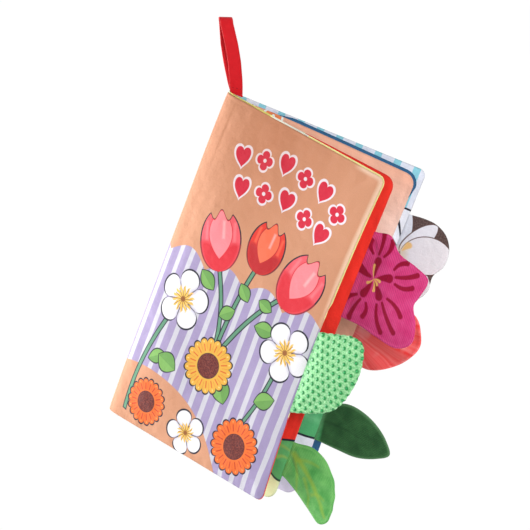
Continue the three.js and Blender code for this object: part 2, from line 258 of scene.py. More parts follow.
# %% [markdown]
# # From numbers to a mesh
# Every piece is a grid of points, and neighbouring points make a face. The cloth's own plane, in metres,
# goes into a UV map, so that prints and weaves follow the cloth when it bends. Solidify then gives the cloth
# its thickness towards the inside, which keeps the outer face where the numbers put it.


# %% Make a cloth from a grid of points
def cloth_mesh(name, points, flat, outward=(0, 0, 1), around=False, seam=None):
    """Joins each point of the grid to its neighbours in the next row and column. Where it goes around, the
    last column joins the first. A second UV map holds how far each point is from the seam."""
    rows, cols = points.shape[:2]
    row, col = np.meshgrid(np.arange(rows - 1), np.arange(cols if around else cols - 1), indexing="ij")
    first = (row * cols + col).ravel()
    second = (row * cols + (col + 1) % cols).ravel()
    faces = np.stack([first, second, second + cols, first + cols], axis=1)
    places = (points.reshape(-1, 3) + fold_at) * MM
    corners = places[faces]
    normals = np.cross(corners[:, 2] - corners[:, 0], corners[:, 3] - corners[:, 1])
    if (normals @ np.asarray(outward, float)).sum() < 0:
        faces = faces[:, ::-1]
    mesh = bpy.data.meshes.new(name)
    mesh.from_pydata(places.tolist(), [], faces.tolist())
    layer = mesh.uv_layers.new(name="cloth")
    corner = np.empty(len(mesh.loops), np.int32)
    mesh.loops.foreach_get("vertex_index", corner)
    layer.data.foreach_set("uv", (flat.reshape(-1, 2) * MM)[corner].ravel())
    if seam is not None:
        away = np.stack([np.broadcast_to(seam, points.shape[:2]).ravel() * MM] * 2, axis=1)
        mesh.uv_layers.new(name="seam").data.foreach_set("uv", away[corner].ravel())
        mesh.uv_layers["cloth"].active = True
    mesh.polygons.foreach_set("use_smooth", np.ones(len(mesh.polygons), bool))
    return mesh


def merged(mesh, apart=0.00002, closed=False):
    """Merges points that lie together, which closes seams and poles. A closed shell's faces are then turned
    outwards, and an open sheet loses the faces that have shrunk to nothing."""
    work = bmesh.new()
    work.from_mesh(mesh)
    bmesh.ops.remove_doubles(work, verts=work.verts, dist=apart)
    if closed:
        bmesh.ops.recalc_face_normals(work, faces=work.faces)
    else:
        bmesh.ops.dissolve_degenerate(work, edges=work.edges, dist=apart / 4)
    work.to_mesh(mesh)
    work.free()
    return mesh


def piece(name, mesh, finish, slot, node, thickness=None):
    """Puts a mesh in the scene as a piece that stands for a CAD node."""
    made = bpy.data.objects.new(name, mesh)
    bpy.context.collection.objects.link(made)
    mesh.materials.append(finish)
    if thickness:
        wall = made.modifiers.new("wall", "SOLIDIFY")
        wall.thickness, wall.offset = thickness * MM, -1.0
    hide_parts(node)
    return made


def shell_piece(name, points, flat, finish, slot, node):
    """A piece that is a closed shell: the rows of its grid go around."""
    mesh = merged(cloth_mesh(name, points, flat, around=True), 0.00001, closed=True)
    return piece(name, mesh, finish, slot, node)


# %% [markdown]
# # Patterns written as sums
# A print is a distance: below zero is inside the motif. The small class here wraps a socket, and a sum on
# it adds Math nodes, so a petal can be written as it would be on paper. Each motif is mixed into the colour
# as soon as it is worked out, because a long chain of waiting values overflows the renderer's memory.


# %% Write shader maths as Python
def sums(operation):
    """A method that adds one Math node with its operation."""
    return lambda self, *others: self.math(operation, *others)


class Mark:
    """A socket of a finish; sums and products on it add Math nodes to that finish."""

    __add__ = __radd__ = sums("ADD")
    __mul__ = __rmul__ = sums("MULTIPLY")
    __sub__, __pow__, __abs__ = sums("SUBTRACT"), sums("POWER"), sums("ABSOLUTE")
    least, most = sums("MINIMUM"), sums("MAXIMUM")
    sin, cos, root, fraction = sums("SINE"), sums("COSINE"), sums("SQRT"), sums("FRACT")

    def __init__(self, finish, socket):
        self.finish, self.socket = finish, socket

    def math(self, operation, *others, clamp=False):
        values = dict(enumerate((self, *others)))
        return self.finish.node("ShaderNodeMath", {"operation": operation, "use_clamp": clamp}, values)

    def __rsub__(self, other):
        return self.math("MULTIPLY_ADD", -1.0, other)

    def stretched(self, by, add):
        """The value times by, plus add, kept between 0 and 1."""
        return self.math("MULTIPLY_ADD", by, add, clamp=True)

    def inside(self, soft=0.25, grown=0.0):
        """1 where the distance is below grown, 0 beyond it, over a soft edge."""
        return self.stretched(-1 / soft, 0.5 + grown / soft)

    def ramp(self, start, length):
        """0 as far as start, rising evenly to 1 a length further on."""
        return self.stretched(1 / length, -start / length)

    def ripple(self, pitch):
        """A sine that comes round once in each pitch."""
        return (self * (2 * math.pi / pitch)).sin()


def dye(red, green, blue):
    """A colour as a screen shows it, 0 to 255, as the linear numbers that Blender works in."""
    share = np.array([red, green, blue]) / 255
    linear = np.where(share <= 0.04045, share / 12.92, ((share + 0.055) / 1.055) ** 2.4)
    return (*linear.tolist(), 1.0)


print("pure white is", dye(255, 255, 255), "to Blender")


# %% Put a material together
class Finish:
    """A material that is being put together, node by node."""

    def __init__(self, name):
        self.material = bpy.data.materials.new(name)
        self.material.use_nodes = True
        self.tree = self.material.node_tree
        self.tree.nodes.clear()

    def node(self, kind, settings=None, values=None, output=0):
        """Adds a node, applies its settings, and then fills its sockets with values or links."""
        made = self.tree.nodes.new(kind)
        for setting, value in (settings or {}).items():
            setattr(made, setting, value)
        for socket, value in (values or {}).items():
            if isinstance(value, Mark):
                self.tree.links.new(value.socket, made.inputs[socket])
            else:
                made.inputs[socket].default_value = value
        return Mark(self, made.outputs[output])

    def split(self, place):
        """A vector's first two numbers."""
        both = self.node("ShaderNodeSeparateXYZ", None, {0: place})
        return both, Mark(self, both.socket.node.outputs[1])

    def mix(self, share, under, over, blend="MIX"):
        settings = {"data_type": "RGBA", "blend_type": blend}
        return self.node("ShaderNodeMix", settings, {0: share, 6: under, 7: over}, output=2)

    def shown(self, shader):
        """Joins the shader to the material's output."""
        out = self.tree.nodes.new("ShaderNodeOutputMaterial")
        self.tree.links.new(shader.socket, out.inputs["Surface"])
        return self.material


class Print(Finish):
    """A finish on cloth: it knows the place on the cloth, and each motif goes over the colour so far."""

    def __init__(self, name, ground=None):
        super().__init__(name)
        flat = self.node("ShaderNodeUVMap", {"uv_map": "cloth"})
        self.at = self.node("ShaderNodeVectorMath", {"operation": "SCALE"}, {0: flat, "Scale": 1 / MM})
        self.x, self.z = self.split(self.at)
        self.colour = ground

    def seam(self):
        """How far the seam is, in millimetres, from the piece's second UV map."""
        return self.split(self.node("ShaderNodeUVMap", {"uv_map": "seam"}))[0] * (1 / MM)

    def seen_from(self, x, z, turn=0.0, size=1.0):
        """The place as a motif sees it: its middle at zero, turned upright, and grown to its size."""
        values = {"Vector": self.at, "Location": (x, z, 0), "Rotation": (0, 0, turn),
                  "Scale": (size, size, 1)}
        return self.node("ShaderNodeMapping", {"vector_type": "TEXTURE"}, values)

    def far_from(self, x, z):
        """How far the place is from another place on the cloth."""
        settings = {"operation": "DISTANCE"}
        return self.node("ShaderNodeVectorMath", settings, {0: self.at, 1: (x, z, 0)}, output=1)

    def noise(self, size, detail=2.0, rough=0.5):
        """Cloudy noise whose spots are about size millimetres wide."""
        values = {"Vector": self.at, "Scale": 1 / size, "Detail": detail, "Roughness": rough}
        return self.node("ShaderNodeTexNoise", None, values)

    def over(self, share, dyed, blend="MIX"):
        """Lays a dye over the colour, as strongly as its share."""
        self.colour = self.mix(share, self.colour, dyed, blend)

    def shade(self, share, by):
        """Makes the colour lighter or darker by a share that varies about 0.5."""
        values = {"Value": (share - 0.5) * by + 1.0, "Color": self.colour}
        self.colour = self.node("ShaderNodeHueSaturation", None, values)

    def bump(self, height, deep, under=None):
        values = {"Height": height, "Strength": 1.0, "Distance": deep * MM}
        if under:
            values["Normal"] = under
        return self.node("ShaderNodeBump", None, values)

    def finished(self, normal, **others):
        values = {"Base Color": self.colour, "Normal": normal}
        for key, value in others.items():
            values[key.replace("_", " ").title().replace("Ior", "IOR")] = value
        return self.shown(self.node("ShaderNodeBsdfPrincipled", None, values))


# %% [markdown]
# # The printed cloth
# The pages are a plain woven polyester with a soft, dull face. Up close there is a fine canvas grain; from
# arm's length it shows as a faint speckle. The grain is a product of two sines for the threads, broken by
# noise, and the dye is a little uneven over a hand's breadth.

# %% Dyes of the prints
INK = dye(28, 27, 44)
PEACH = dye(208, 148, 114)
LILAC, PALE = dye(163, 149, 188), dye(206, 204, 214)
CRIMSON, RIM = dye(214, 30, 62), dye(240, 232, 244)
STEM = dye(96, 150, 118)
LEAF, LEAF_DARK = dye(126, 178, 92), dye(92, 146, 74)
CORAL = (dye(240, 92, 104), dye(250, 138, 146), dye(222, 44, 58))
SCARLET = (dye(226, 52, 40), dye(246, 112, 78), dye(188, 30, 36))
GOLD = (dye(232, 176, 68), dye(222, 104, 48), dye(255, 226, 150))
ORANGE = (dye(238, 112, 42), dye(204, 62, 30), dye(252, 168, 92))
CREAM, WHITE = dye(228, 238, 184), dye(244, 244, 240)
LIME, PALE_LIME = dye(206, 224, 120), dye(220, 234, 160)
RED, AQUA, NAVY = dye(236, 46, 32), dye(150, 210, 225), dye(52, 104, 146)
print("the peach of the cover is", np.round(PEACH[:3], 3), "in linear numbers")

# %% Weave under any print
THREAD_PITCH, GRAIN, DYE_CLOUD, CRUMPLE = 0.9, 0.8, 42.0, 13.0


def woven(f, roughness=0.82, sheen=0.12, edge=0.5):
    """Cloth under a print: threads cross as a product of sines, and noise breaks them up. Painted shade makes
    the edge darker by a share, where the cloth rolls over at the seam."""
    threads = f.x.ripple(THREAD_PITCH) * f.z.ripple(THREAD_PITCH)
    grain = f.noise(GRAIN, 1.0)
    f.shade(grain * 0.7 + threads * 0.12 + 0.15, 0.2)
    f.shade(f.noise(DYE_CLOUD), 0.16)
    # painted shade: darker towards the seam, by the share in edge
    f.shade((f.seam() * -0.9 + 1.0).most(0.0) * -edge + 0.5, 0.5)
    crumple = f.bump(f.noise(CRUMPLE, 3.0), 1.6)
    return f.finished(f.bump(threads * 0.5 + grain, 0.1, crumple), roughness=roughness, sheen_weight=sheen,
                      sheen_roughness=0.5, specular_ior_level=0.3)


# %% Motifs of lines and leaves
def painted(f, distance, fill, line=1.1, ink=INK, soft=0.25):
    """Ink as far as the line is wide beyond the motif, and then the motif's fill."""
    f.over(distance.inside(soft, line), ink)
    f.over(distance.inside(soft), fill)


def from_line(f, foot, head):
    """A line's length, and how far along it and across it the place lies."""
    turn = math.atan2(head[1] - foot[1], head[0] - foot[0])
    return math.dist(foot, head), *f.split(f.seen_from(*foot, turn))


def stem(f, foot, head, bow, width, fill=STEM):
    """A band about an arc: the distance from a parabola between foot and head, less half the width."""
    long, along, across = from_line(f, foot, head)
    share = along * (2 / long) - 1.0
    arc = abs(share * share * bow + (across - bow)) - width / 2
    ends = abs(share) * (long / 2) - long / 2
    painted(f, arc.most(ends), fill, 0.8)


def stroke(f, foot, head, bow, wide, fill, soft=1.0, strength=0.75, taper=0.2):
    """A soft stroke along an arc, with round ends: the distance from the arc, less half a width that tapers
    to its head."""
    long, along, across = from_line(f, foot, head)
    share = (along * (2 / long) - 1.0).most(-1.0).least(1.0)
    beyond = (abs(along - long / 2) - long / 2).most(0.0)
    aside = share * share * bow + (across - bow)
    far = (beyond * beyond + aside * aside).root() + share * (wide * taper) - wide / 2
    f.over(far.inside(soft) * strength, fill)


def leaf_print(f, x, z, turn, long, wide, fill=LEAF, dark=LEAF_DARK):
    """A pointed leaf: the distance from its midrib less a width that falls to both ends as a parabola."""
    along, across = f.split(f.seen_from(x, z, turn))
    share = along * (2 / long) - 1.0
    distance = share * share * (wide / 2) + (abs(across) - wide / 2)
    painted(f, distance, fill, 0.9)
    f.over(distance.most(across).inside(0.5) * 0.55, dark)
    rib = (abs(across) - 0.18).most(abs(share) * (long / 2) - long * 0.46)
    f.over(rib.inside(0.2) * 0.6, dark)


# %% Motifs of flowers
def polar(f, x, z, turn=0.0):
    """How far and which way the place lies from a motif's middle."""
    place = f.seen_from(x, z, turn)
    across, high = f.split(place)
    far = f.node("ShaderNodeVectorMath", {"operation": "LENGTH"}, {0: place}, output=1)
    return far, high.math("ARCTAN2", across)


def blossom_print(f, x, z, turn, reach, fill=dye(240, 238, 242), shadow=dye(204, 198, 218)):
    """Five round petals: the reach falls between petals with a root of the cosine, and an ink line parts
    them. Warm strokes run out from the throat, with thin stamens over them."""
    far, way = polar(f, x, z, turn)
    wave = abs((way * 2.5).cos())
    outline = far - (wave ** 0.36) * (reach * 0.6) - reach * 0.4
    painted(f, outline, fill, 1.25)
    from_parting = wave * far * 0.4
    f.over((from_parting - reach * 0.07).most(outline).inside(2.0) * 0.8, shadow)
    f.over((from_parting - 0.32).most(outline).inside(), INK)
    warm = abs((way * 7.0 + (far * 0.6).sin()).cos()) * (reach * 0.28) + reach * 0.18
    f.over((far - warm).inside(1.6), dye(244, 196, 92))
    stamens = (abs((way * 6.0).sin()) * far * 0.17 - 0.22).most(far - reach * 0.4)
    f.over(stamens.inside() * 0.9, dye(122, 66, 34))
    f.over((far - reach * 0.09).inside(0.5), dye(150, 90, 40))


def daisy_print(f, x, z, turn, reach, dyes):
    """Many short petals about a seed disc: the reach ripples with a root of the cosine, and each petal has
    a streak along its middle."""
    fill, streak, tip = dyes
    far, way = polar(f, x, z, turn)
    from_parting, from_middle = abs((way * 9.0).cos()), abs((way * 9.0).sin())
    outline = far - ((from_parting ** 0.5) * (reach * 0.17) + reach * 0.83)
    painted(f, outline, fill)
    parting = (from_parting * far * 0.11 - 0.2).most(reach * 0.6 - far).most(outline)
    f.over(parting.inside(0.2) * 0.55, streak)
    for width, at, half, dyed, strength in ((0.4, 0.68, 0.13, streak, 1.0), (0.35, 0.9, 0.035, tip, 0.8)):
        mark = (from_middle * far * 0.11 - width).most(abs(far - reach * at) - reach * half)
        f.over(mark.inside(0.2) * strength, dyed)
    seeds = f.mix(f.noise(1.1, 1.0).stretched(5.0, -2.1), dye(92, 34, 34), dye(132, 58, 46))
    painted(f, far - reach * 0.45, seeds, 0.35)


def tulip_print(f, x, z, turn, size, dyes=CORAL):
    """A cup of three petals: an oval whose top is cut by a wave, with a lighter pointed petal in front."""
    fill, light, dark = dyes
    across, high = f.split(f.seen_from(x, z, turn, size))
    side = abs(across)
    belly = (high + 3.0) * (1 / 16.0)
    room = 1.0 - belly * belly
    width = room.most(0.0) ** 0.5 * 12.0 + room.least(0.0) * 12.0
    cup = (side - width).most(high - (side * 0.72).cos() * 2.6 - 9.5)
    painted(f, cup, fill, 1.1 / size, soft=0.25 / size)
    low = (high + 6.0 + (side * 0.35).cos() * 2.0).most(cup)
    f.over(low.inside(3.0), dark)
    share = (high - 0.5) * (1 / 13.0)
    front = share * share * 7.0 + (side - 7.0)
    painted(f, front.most(cup), light, 0.6 / size, dark, 0.3 / size)
    cheek = (abs(side - 8.6) - 0.8).most(abs(high - 1.5) - 5.0)
    f.over(cheek.inside(1.2) * 0.55, light)
    shine = (abs(across - 2.0) - 0.7).most(abs(high - 2.5) - 4.5)
    f.over(shine.inside(1.2) * 0.6, dye(255, 196, 196))


def little_flower(f, x, z, turn, reach=6.6, fill=CRIMSON, rim=RIM):
    """Four round petals with a pale rim, about a pale dot."""
    far, way = polar(f, x, z, turn)
    outline = far - (abs((way * 2.0).cos()) ** 0.5) * (reach * 0.5) - reach * 0.5
    painted(f, outline, fill, 1.5, rim)
    f.over((far - reach * 0.2).inside(0.3), rim)


def heart_print(f, x, z, turn, size=5.9):
    """A heart with a pale rim: the place is sheared up by the root of its distance from the middle line,
    and a circle is drawn there."""
    across, high = f.split(f.seen_from(x, z, turn))
    side = abs(across)
    sheared = high - (side * size).root() * 0.78
    painted(f, (side * side + sheared * sheared).root() - size, CRIMSON, 1.5, RIM)


# %% Stripes and checks
def stripe(along, pitch, share):
    """1 on a stripe that takes up a share of each pitch, and 0 beside it."""
    within = (along * (1 / pitch)).fraction()
    return (abs(within - 0.5) * pitch - pitch * share / 2).inside()


def lime_check(f):
    """Stripes of lime both ways on white, deeper where they cross."""
    upright_stripe, level_stripe = stripe(f.x, 14.0, 0.4), stripe(f.z, 14.0, 0.4)
    f.colour = f.mix(upright_stripe.most(level_stripe), WHITE, PALE_LIME)
    f.over(upright_stripe * level_stripe, LIME)


# %% [markdown]
# # The covers' print
# A peach ground, a field of lilac stripes along the spine, and a loose bunch of garden flowers in flat
# colours with an ink line. Above the bunch are two short rows of little hearts with a pale rim.

# %% Print the two covers
FRONT_STEMS = (((64.0, 66.0), (40.0, 134.0), -5.0, 2.2), ((64.0, 66.0), (72.0, 142.0), 3.0, 2.2),
               ((64.0, 66.0), (102.0, 134.0), 5.0, 2.2), ((98.0, 30.0), (114.0, 98.0), -4.0, 2.0),
               ((10.0, 8.0), (24.0, 92.0), 5.0, 2.4))
FRONT_LEAVES = ((46.0, 112.0, 2.6, 16.0, 10.0), (57.0, 98.0, 0.7, 13.0, 9.0), (74.0, 116.0, 2.4, 13.0, 8.5),
                (86.0, 104.0, 0.1, 16.0, 10.0), (94.0, 118.0, 2.9, 12.0, 8.0), (106.0, 58.0, 0.5, 16.0, 11.0),
                (16.0, 48.0, 0.6, 15.0, 9.0), (40.0, 50.0, 2.9, 17.0, 13.0), (84.0, 46.0, 2.2, 18.0, 13.0))
FRONT_TULIPS = ((36.0, 148.0, 0.35, 1.3, CORAL), (73.0, 158.0, -0.05, 1.15, SCARLET),
                (109.0, 148.0, -0.35, 1.35, CORAL))
TWO_ROWS = ((30.0, 200.0, 0.24), (47.0, 206.5, 0.14), (64.5, 209.5, 0.04), (82.0, 209.0, -0.06),
            (99.0, 205.0, -0.16), (114.5, 198.0, -0.26), (38.0, 181.0, 0.18), (56.0, 186.5, 0.07),
            (74.0, 187.5, -0.03), (92.0, 184.5, -0.13), (107.5, 178.5, -0.23))


def cover_ground(f):
    """Stripes under a scalloped line, and a round peach hill at the foot of either cover."""
    field = f.mix(stripe(f.x, 10.0, 0.62), PALE, LILAC)
    scallops = abs((f.x * (math.pi / 34)).sin()) * 9.0 + 121.0
    f.colour = f.mix((f.z - scallops).inside(), PEACH, field)
    for x, z, reach in ((22.0, -42.0, 84.0), (BEHIND - 110.0, -50.0, 88.0)):
        f.over((f.far_from(x, z) - reach).inside(), PEACH)


def painted_head_shade_and_edge_highlight(f):
    """Painted shade makes the head a little darker over the swelling, and a painted highlight makes the upper
    fore edge paler.
    """
    # painted shade: darker over the head of the swelling
    head = f.z.ramp(140.0, 70.0) * abs(f.x - 48.0).ramp(90.0, -90.0)
    f.over(head * 0.8, dye(224, 203, 186), "MULTIPLY")
    # painted highlight: paler along the upper fore edge
    edge = (f.seam() - 2.4).inside(2.4) * f.z.ramp(110.0, 60.0) * f.x.ramp(112.0, 8.0)
    f.over(edge * 0.6, dye(248, 218, 192))


def front_cover_print():
    f = Print("front_cover_print")
    cover_ground(f)
    for line in FRONT_STEMS:
        stem(f, *line)
    for leaf in FRONT_LEAVES:
        leaf_print(f, *leaf)
    for tulip in FRONT_TULIPS:
        tulip_print(f, *tulip)
    blossom_print(f, 26.0, 96.0, 0.3, 20.0)
    blossom_print(f, 115.0, 98.0, 1.0, 19.5)
    daisy_print(f, 63.0, 64.0, 0.1, 18.5, GOLD)
    daisy_print(f, 26.0, 20.0, 0.2, 15.5, ORANGE)
    daisy_print(f, 104.0, 24.0, 0.3, 18.5, ORANGE)
    blossom_print(f, 64.0, 15.0, 0.8, 15.0)
    for number, place in enumerate(TWO_ROWS):
        motif = little_flower if number % 2 else heart_print
        motif(f, *place)
    # paints shade over the head and a highlight along the upper fore edge
    painted_head_shade_and_edge_highlight(f)
    return woven(f, edge=0.3)


def back_cover_print():
    """The back cover's cloth is measured on from the front's, so its places lie behind the spine."""
    f = Print("back_cover_print")
    cover_ground(f)
    stem(f, (BEHIND - 60.0, 20.0), (BEHIND - 84.0, 92.0), 6.0, 2.0)
    stem(f, (BEHIND - 56.0, 20.0), (BEHIND - 40.0, 84.0), -5.0, 2.0)
    leaf_print(f, BEHIND - 78.0, 62.0, 2.6, 17.0, 10.0)
    leaf_print(f, BEHIND - 50.0, 56.0, 0.7, 15.0, 9.0)
    blossom_print(f, BEHIND - 86.0, 104.0, 0.3, 20.0)
    daisy_print(f, BEHIND - 38.0, 94.0, 0.2, 18.0, GOLD)
    daisy_print(f, BEHIND - 100.0, 26.0, 0.2, 17.0, ORANGE)
    tulip_print(f, BEHIND - 34.0, 30.0, -0.2, 1.1)
    return woven(f)


prints = {"front_cover_cloth": front_cover_print(), "back_cover_cloth": back_cover_print()}
prints["spine_cloth"] = prints["front_cover_cloth"]
print("the front cover's print has", len(prints["front_cover_cloth"].node_tree.nodes), "nodes")

# %% [markdown]
# # The pages' prints
# Each page has one ground colour with a simple check, stripe or field, and a large flat picture of the plant
# whose tail is sewn into its edge, so the picture runs on from the cloth into the tail.


# %% Pages of the first spread
def banded(f, low, fill, wave=3.0):
    """A field at the foot of a page, under a gently waving ink line."""
    painted(f, f.z - (f.x.ripple(60.0) * wave + low), fill, 0.7)


def minky_page(f):
    """Inside the front cover: a check at the head, the plush leaf's picture, and a pale lip at the edge."""
    lime_check(f)
    f.over((f.z - 196.0).inside(), CREAM)
    stem(f, (40.0, 10.0), (92.0, 96.0), 8.0, 5.0)
    leaf_print(f, 56.0, 60.0, 2.3, 44.0, 24.0)
    leaf_print(f, 84.0, 96.0, 0.1, 62.0, 40.0, dye(150, 222, 150), LEAF)
    banded(f, 14.0, dye(246, 200, 120))
    lip = f.mix((abs(f.x - 54.0) - 16.0).inside(), dye(244, 238, 162), dye(226, 228, 214))
    lip = f.mix((f.x - 36.0).inside(), lip, dye(206, 196, 106))
    f.over((f.seam() - 1.7).inside(), lip)
    f.over((128.0 - f.x).most(f.z - 60.0).inside(), RED)


def red_page(f):
    """The second leaf's front: red beside a check, with the root of the veined leaf in its corner."""
    lime_check(f)
    f.over((f.z * 0.2 - f.x + 15.0).inside(), RED)
    stem(f, (60.0, 30.0), (70.0, 150.0), -8.0, 5.0)
    leaf_print(f, 68.0, 84.0, 0.9, 40.0, 24.0)
    blossom_print(f, 76.0, 164.0, 0.2, 32.0, dye(222, 70, 150), dye(176, 30, 110))
    banded(f, 16.0, CREAM, 2.0)
    inward = (f.x - 136.0) * (1 / 11)
    lower = inward * inward * 7.0 - (f.z - 15.5)
    painted(f, lower.most(f.z - 43.0 - inward * 4.0), dye(92, 176, 104), 1.5)
    f.over(lower.most(f.z - 30.0).inside(9.0) * 0.4, dye(60, 140, 84))
    for foot, head in (((122.0, 36.0), (137.0, 36.5)), ((130.0, 29.0), (137.0, 31.0))):
        stroke(f, foot, head, 1.0, 1.8, dye(160, 186, 80), 1.6, 0.6)


# %% Pages of the middle spread
def aqua_page(f):
    stem(f, (70.0, 20.0), (90.0, 160.0), 8.0, 5.0)
    tulip_print(f, 92.0, 168.0, -0.1, 2.0)
    leaf_print(f, 76.0, 70.0, 2.2, 52.0, 26.0)
    banded(f, 34.0, LEAF)


def dark_leaf_root(f):
    """The printed start of the dark leaf: a rounded shape that runs to the fore edge under a heavy ink
    line, with a lighter stroke along it."""
    long, wide = 44.0, 20.0
    across, high = f.split(f.seen_from(138.0, 52.0))
    share = (across + long * 0.4) * (1 / long)
    painted(f, share * share * (wide * 0.5) + abs(high) - wide * 0.5, dye(84, 172, 112), 1.5)
    light = abs(high - wide * 0.15) - wide * 0.12 + abs(share) * 2.0
    f.over(light.inside(4.0) * 0.6, dye(120, 196, 140))


def salmon_page(f):
    """The third leaf's front: cloudy salmon, paler at its upper fore edge, over a lilac field."""
    f.colour = f.mix(f.noise(50.0, 1.0), dye(242, 166, 134), dye(250, 190, 166))
    outer = f.x.ramp(92.0, 44.0) * f.z.ramp(232.0, -34.0) * f.z.ramp(128.0, 30.0)
    f.over(outer * 0.8, dye(248, 214, 200))
    stem(f, (62.0, 34.0), (90.0, 120.0), 6.0, 5.0)
    tulip_print(f, 92.0, 126.0, -0.6, 2.0)
    banded(f, 43.0, f.mix((f.z - 22.0).inside(14.0), dye(236, 231, 248), dye(236, 222, 252)), 0.4)
    for x, z, reach in ((12.0, 228.0, 7.0), (30.0, 232.0, 6.0)):
        little_flower(f, x, z, 0.1, reach, dye(242, 134, 84), WHITE)
    dark_leaf_root(f)


# %% Pages of the last spread
def navy_page(f):
    blossom_print(f, 50.0, 170.0, 0.2, 22.0)
    blossom_print(f, 94.0, 118.0, 0.9, 26.0)
    daisy_print(f, 44.0, 76.0, 0.1, 22.0, GOLD)
    banded(f, 30.0, LEAF)


def striped_page(f):
    """Inside the back cover: blue stripes, and a great white petal that runs on into the printed tail."""
    f.colour = f.mix(stripe(f.x - 124.4, 14.0, 0.36), dye(226, 229, 241), dye(142, 208, 222))
    stem(f, (70.0, 30.0), (118.0, 168.0), 8.0, 4.0, dye(126, 92, 70))
    blossom_print(f, 70.0, 96.0, 0.1, 22.0)
    painted(f, f.far_from(134.0, 176.0) - 28.6, dye(238, 239, 246), 1.3)
    for foot, head in (((139.0, 180.0), (130.5, 198.0)), ((138.0, 178.0), (122.0, 190.0))):
        stroke(f, foot, head, -0.8, 1.2, INK, 0.4, 1.0, -0.3)
    banded(f, 32.0, dye(70, 130, 186), 2.0)


# edge is the share of painted shade at each page's seam
for node, name, paint, edge, ground in (
        ("front_cover_page", "minky_page_print", minky_page, 0.05, None),
        ("second_leaf_front_page", "red_page_print", red_page, 0.5, None),
        ("second_leaf_back_page", "aqua_page_print", aqua_page, 0.5, AQUA),
        ("third_leaf_front_page", "salmon_page_print", salmon_page, 0.5, None),
        ("third_leaf_back_page", "navy_page_print", navy_page, 0.1, NAVY),
        ("back_cover_page", "check_page_print", striped_page, 0.5, None)):
    page = Print(name, ground)
    paint(page)
    prints[node] = woven(page, 0.8, edge=edge)
for node, name, ground in (("spine_lining", "lining_print", CREAM),
                           ("centre_fold_outer", "outer_fold_print", RED),
                           ("centre_fold_inner", "inner_fold_print", AQUA)):
    prints[node] = woven(Print(name, ground))
print("prints:", len(prints))

# %% [markdown]
# # The leaves' cloths
# A bagged-out leaf is never flat: the seam allowance shows as a faint step along the edge, the stitches pull
# small puckers into it, and the film inside makes soft dents. These are added to the half thickness as sines
# with seeded phases, so that the surface stays smooth and comes out the same each time. A cover's cloth runs
# on round the spine as far as its hinge.


# %% Puckers, dents and creases
SLOW_HIGH, PUCKER_HIGH, PUCKER_REACH = 0.14, 0.26, 9
PUCKERS = ((27.0, 1.0), (15.7, 0.8), (9.4, 0.5))
SEAM_ALLOWANCE, ALLOWANCE_HIGH, ALLOWANCE_FADE = 8.5, 0.3, 0.7
STILL_AT_HEM, STILL_AT_FOLD = 4, 16


def crease(x, z, foot, way, deep, wide, long):
    """A valley along a straight line from foot: a bell across it, which fades with distance along it."""
    along = (x - foot[0]) * math.cos(way) + (z - foot[1]) * math.sin(way)
    across = -(x - foot[0]) * math.sin(way) + (z - foot[1]) * math.cos(way)
    fade = 1 / (1 + np.exp(-(along + 1) / 0.8))
    return -deep * np.exp(-(across / wide) ** 2) * np.exp(-np.clip(along, 0, None) / long) * fade


def creases(x, z, *lines):
    """Several creases, added up."""
    return sum(crease(x, z, *line) for line in lines)


def eased(share):
    """Rises from 0 to 1 as a cubic that is level at both ends."""
    share = np.clip(share, 0, 1)
    return share * share * (3 - 2 * share)


def dents(leaf, x, z, seed):
    """Long slow waves over the whole leaf, short sharp ones where the film buckled, puckers that die away
    from the sewn edge, and a low step over the seam allowance."""
    rng = np.random.default_rng(seed)
    slow, buckled, puckers = np.zeros_like(x), np.zeros_like(x), np.zeros_like(x)
    for _ in range(7):
        way, pitch, phase = rng.uniform(0, math.pi), rng.uniform(34, 90), rng.uniform(0, 2 * math.pi)
        slow += np.sin(2 * math.pi * (x * math.cos(way) + z * math.sin(way)) / pitch + phase)
    for _ in range(9):
        foot = (rng.uniform(20, 130), rng.uniform(10, 224))
        buckled += crease(x, z, foot, rng.uniform(0, 2 * math.pi), rng.uniform(0.1, 0.3),
                          rng.uniform(1.5, 4.0), rng.uniform(10, 30))
    fore, foot = fore_edge(leaf, z) - x, np.minimum(z, LEAF_HEIGHT - z)
    for away, along in ((fore, z), (foot, x)):
        for pitch, high in PUCKERS:
            puckers += high * np.exp(-np.clip(away, 0, None) / PUCKER_REACH) * np.sin(
                2 * math.pi * along / pitch + rng.uniform(0, 2 * math.pi))
    inset = hem_distance(leaf, x, z)
    allowance = ALLOWANCE_HIGH / (1 + np.exp((inset - SEAM_ALLOWANCE) / ALLOWANCE_FADE))
    depth = SLOW_HIGH * slow + PUCKER_HIGH * puckers + buckled + allowance
    return depth * eased(inset / STILL_AT_HEM) * eased((x - leaf["start"]) / STILL_AT_FOLD)


# %% The fuller front cover
ROLL_OUT = 2.2
ROLL_ROUND = 0.8 * ROUND_SPINE
ROLL_SLOPE = 1.5 * ROLL_OUT / ROLL_ROUND
SWELL_LENGTH, SWELL_FADE, SEWN_RISE = 125, 24, 45
HOLLOW_DEEP, HOLLOW_X, HOLLOW_Z, HOLLOW_WIDE, HOLLOW_HIGH = 1.2, 36, 210, 20, 26
COVER_CREASES = (((126.0, 229.0), -2.3, 0.9, 2.2, 14.0), ((135.0, 60.0), 2.7, 0.5, 1.8, 16.0),
                 ((134.0, 134.0), -2.6, 0.4, 2.0, 12.0))


def sewn_ends(z):
    """1 up the middle of the book, falling to 0 at its head and foot as a quarter sine."""
    return np.sin(math.pi / 2 * np.clip(np.minimum(z, LEAF_HEIGHT - z) / SEWN_RISE, 0, 1))


def spine_roll(at, z):
    """How far the outer cloth stands off round the spine: most at the front cover, and falling as a power
    of the way round to nothing before the back cover."""
    return ROLL_OUT * sewn_ends(z) * (1 - np.clip(at / ROLL_ROUND, 0, 1)) ** 1.5


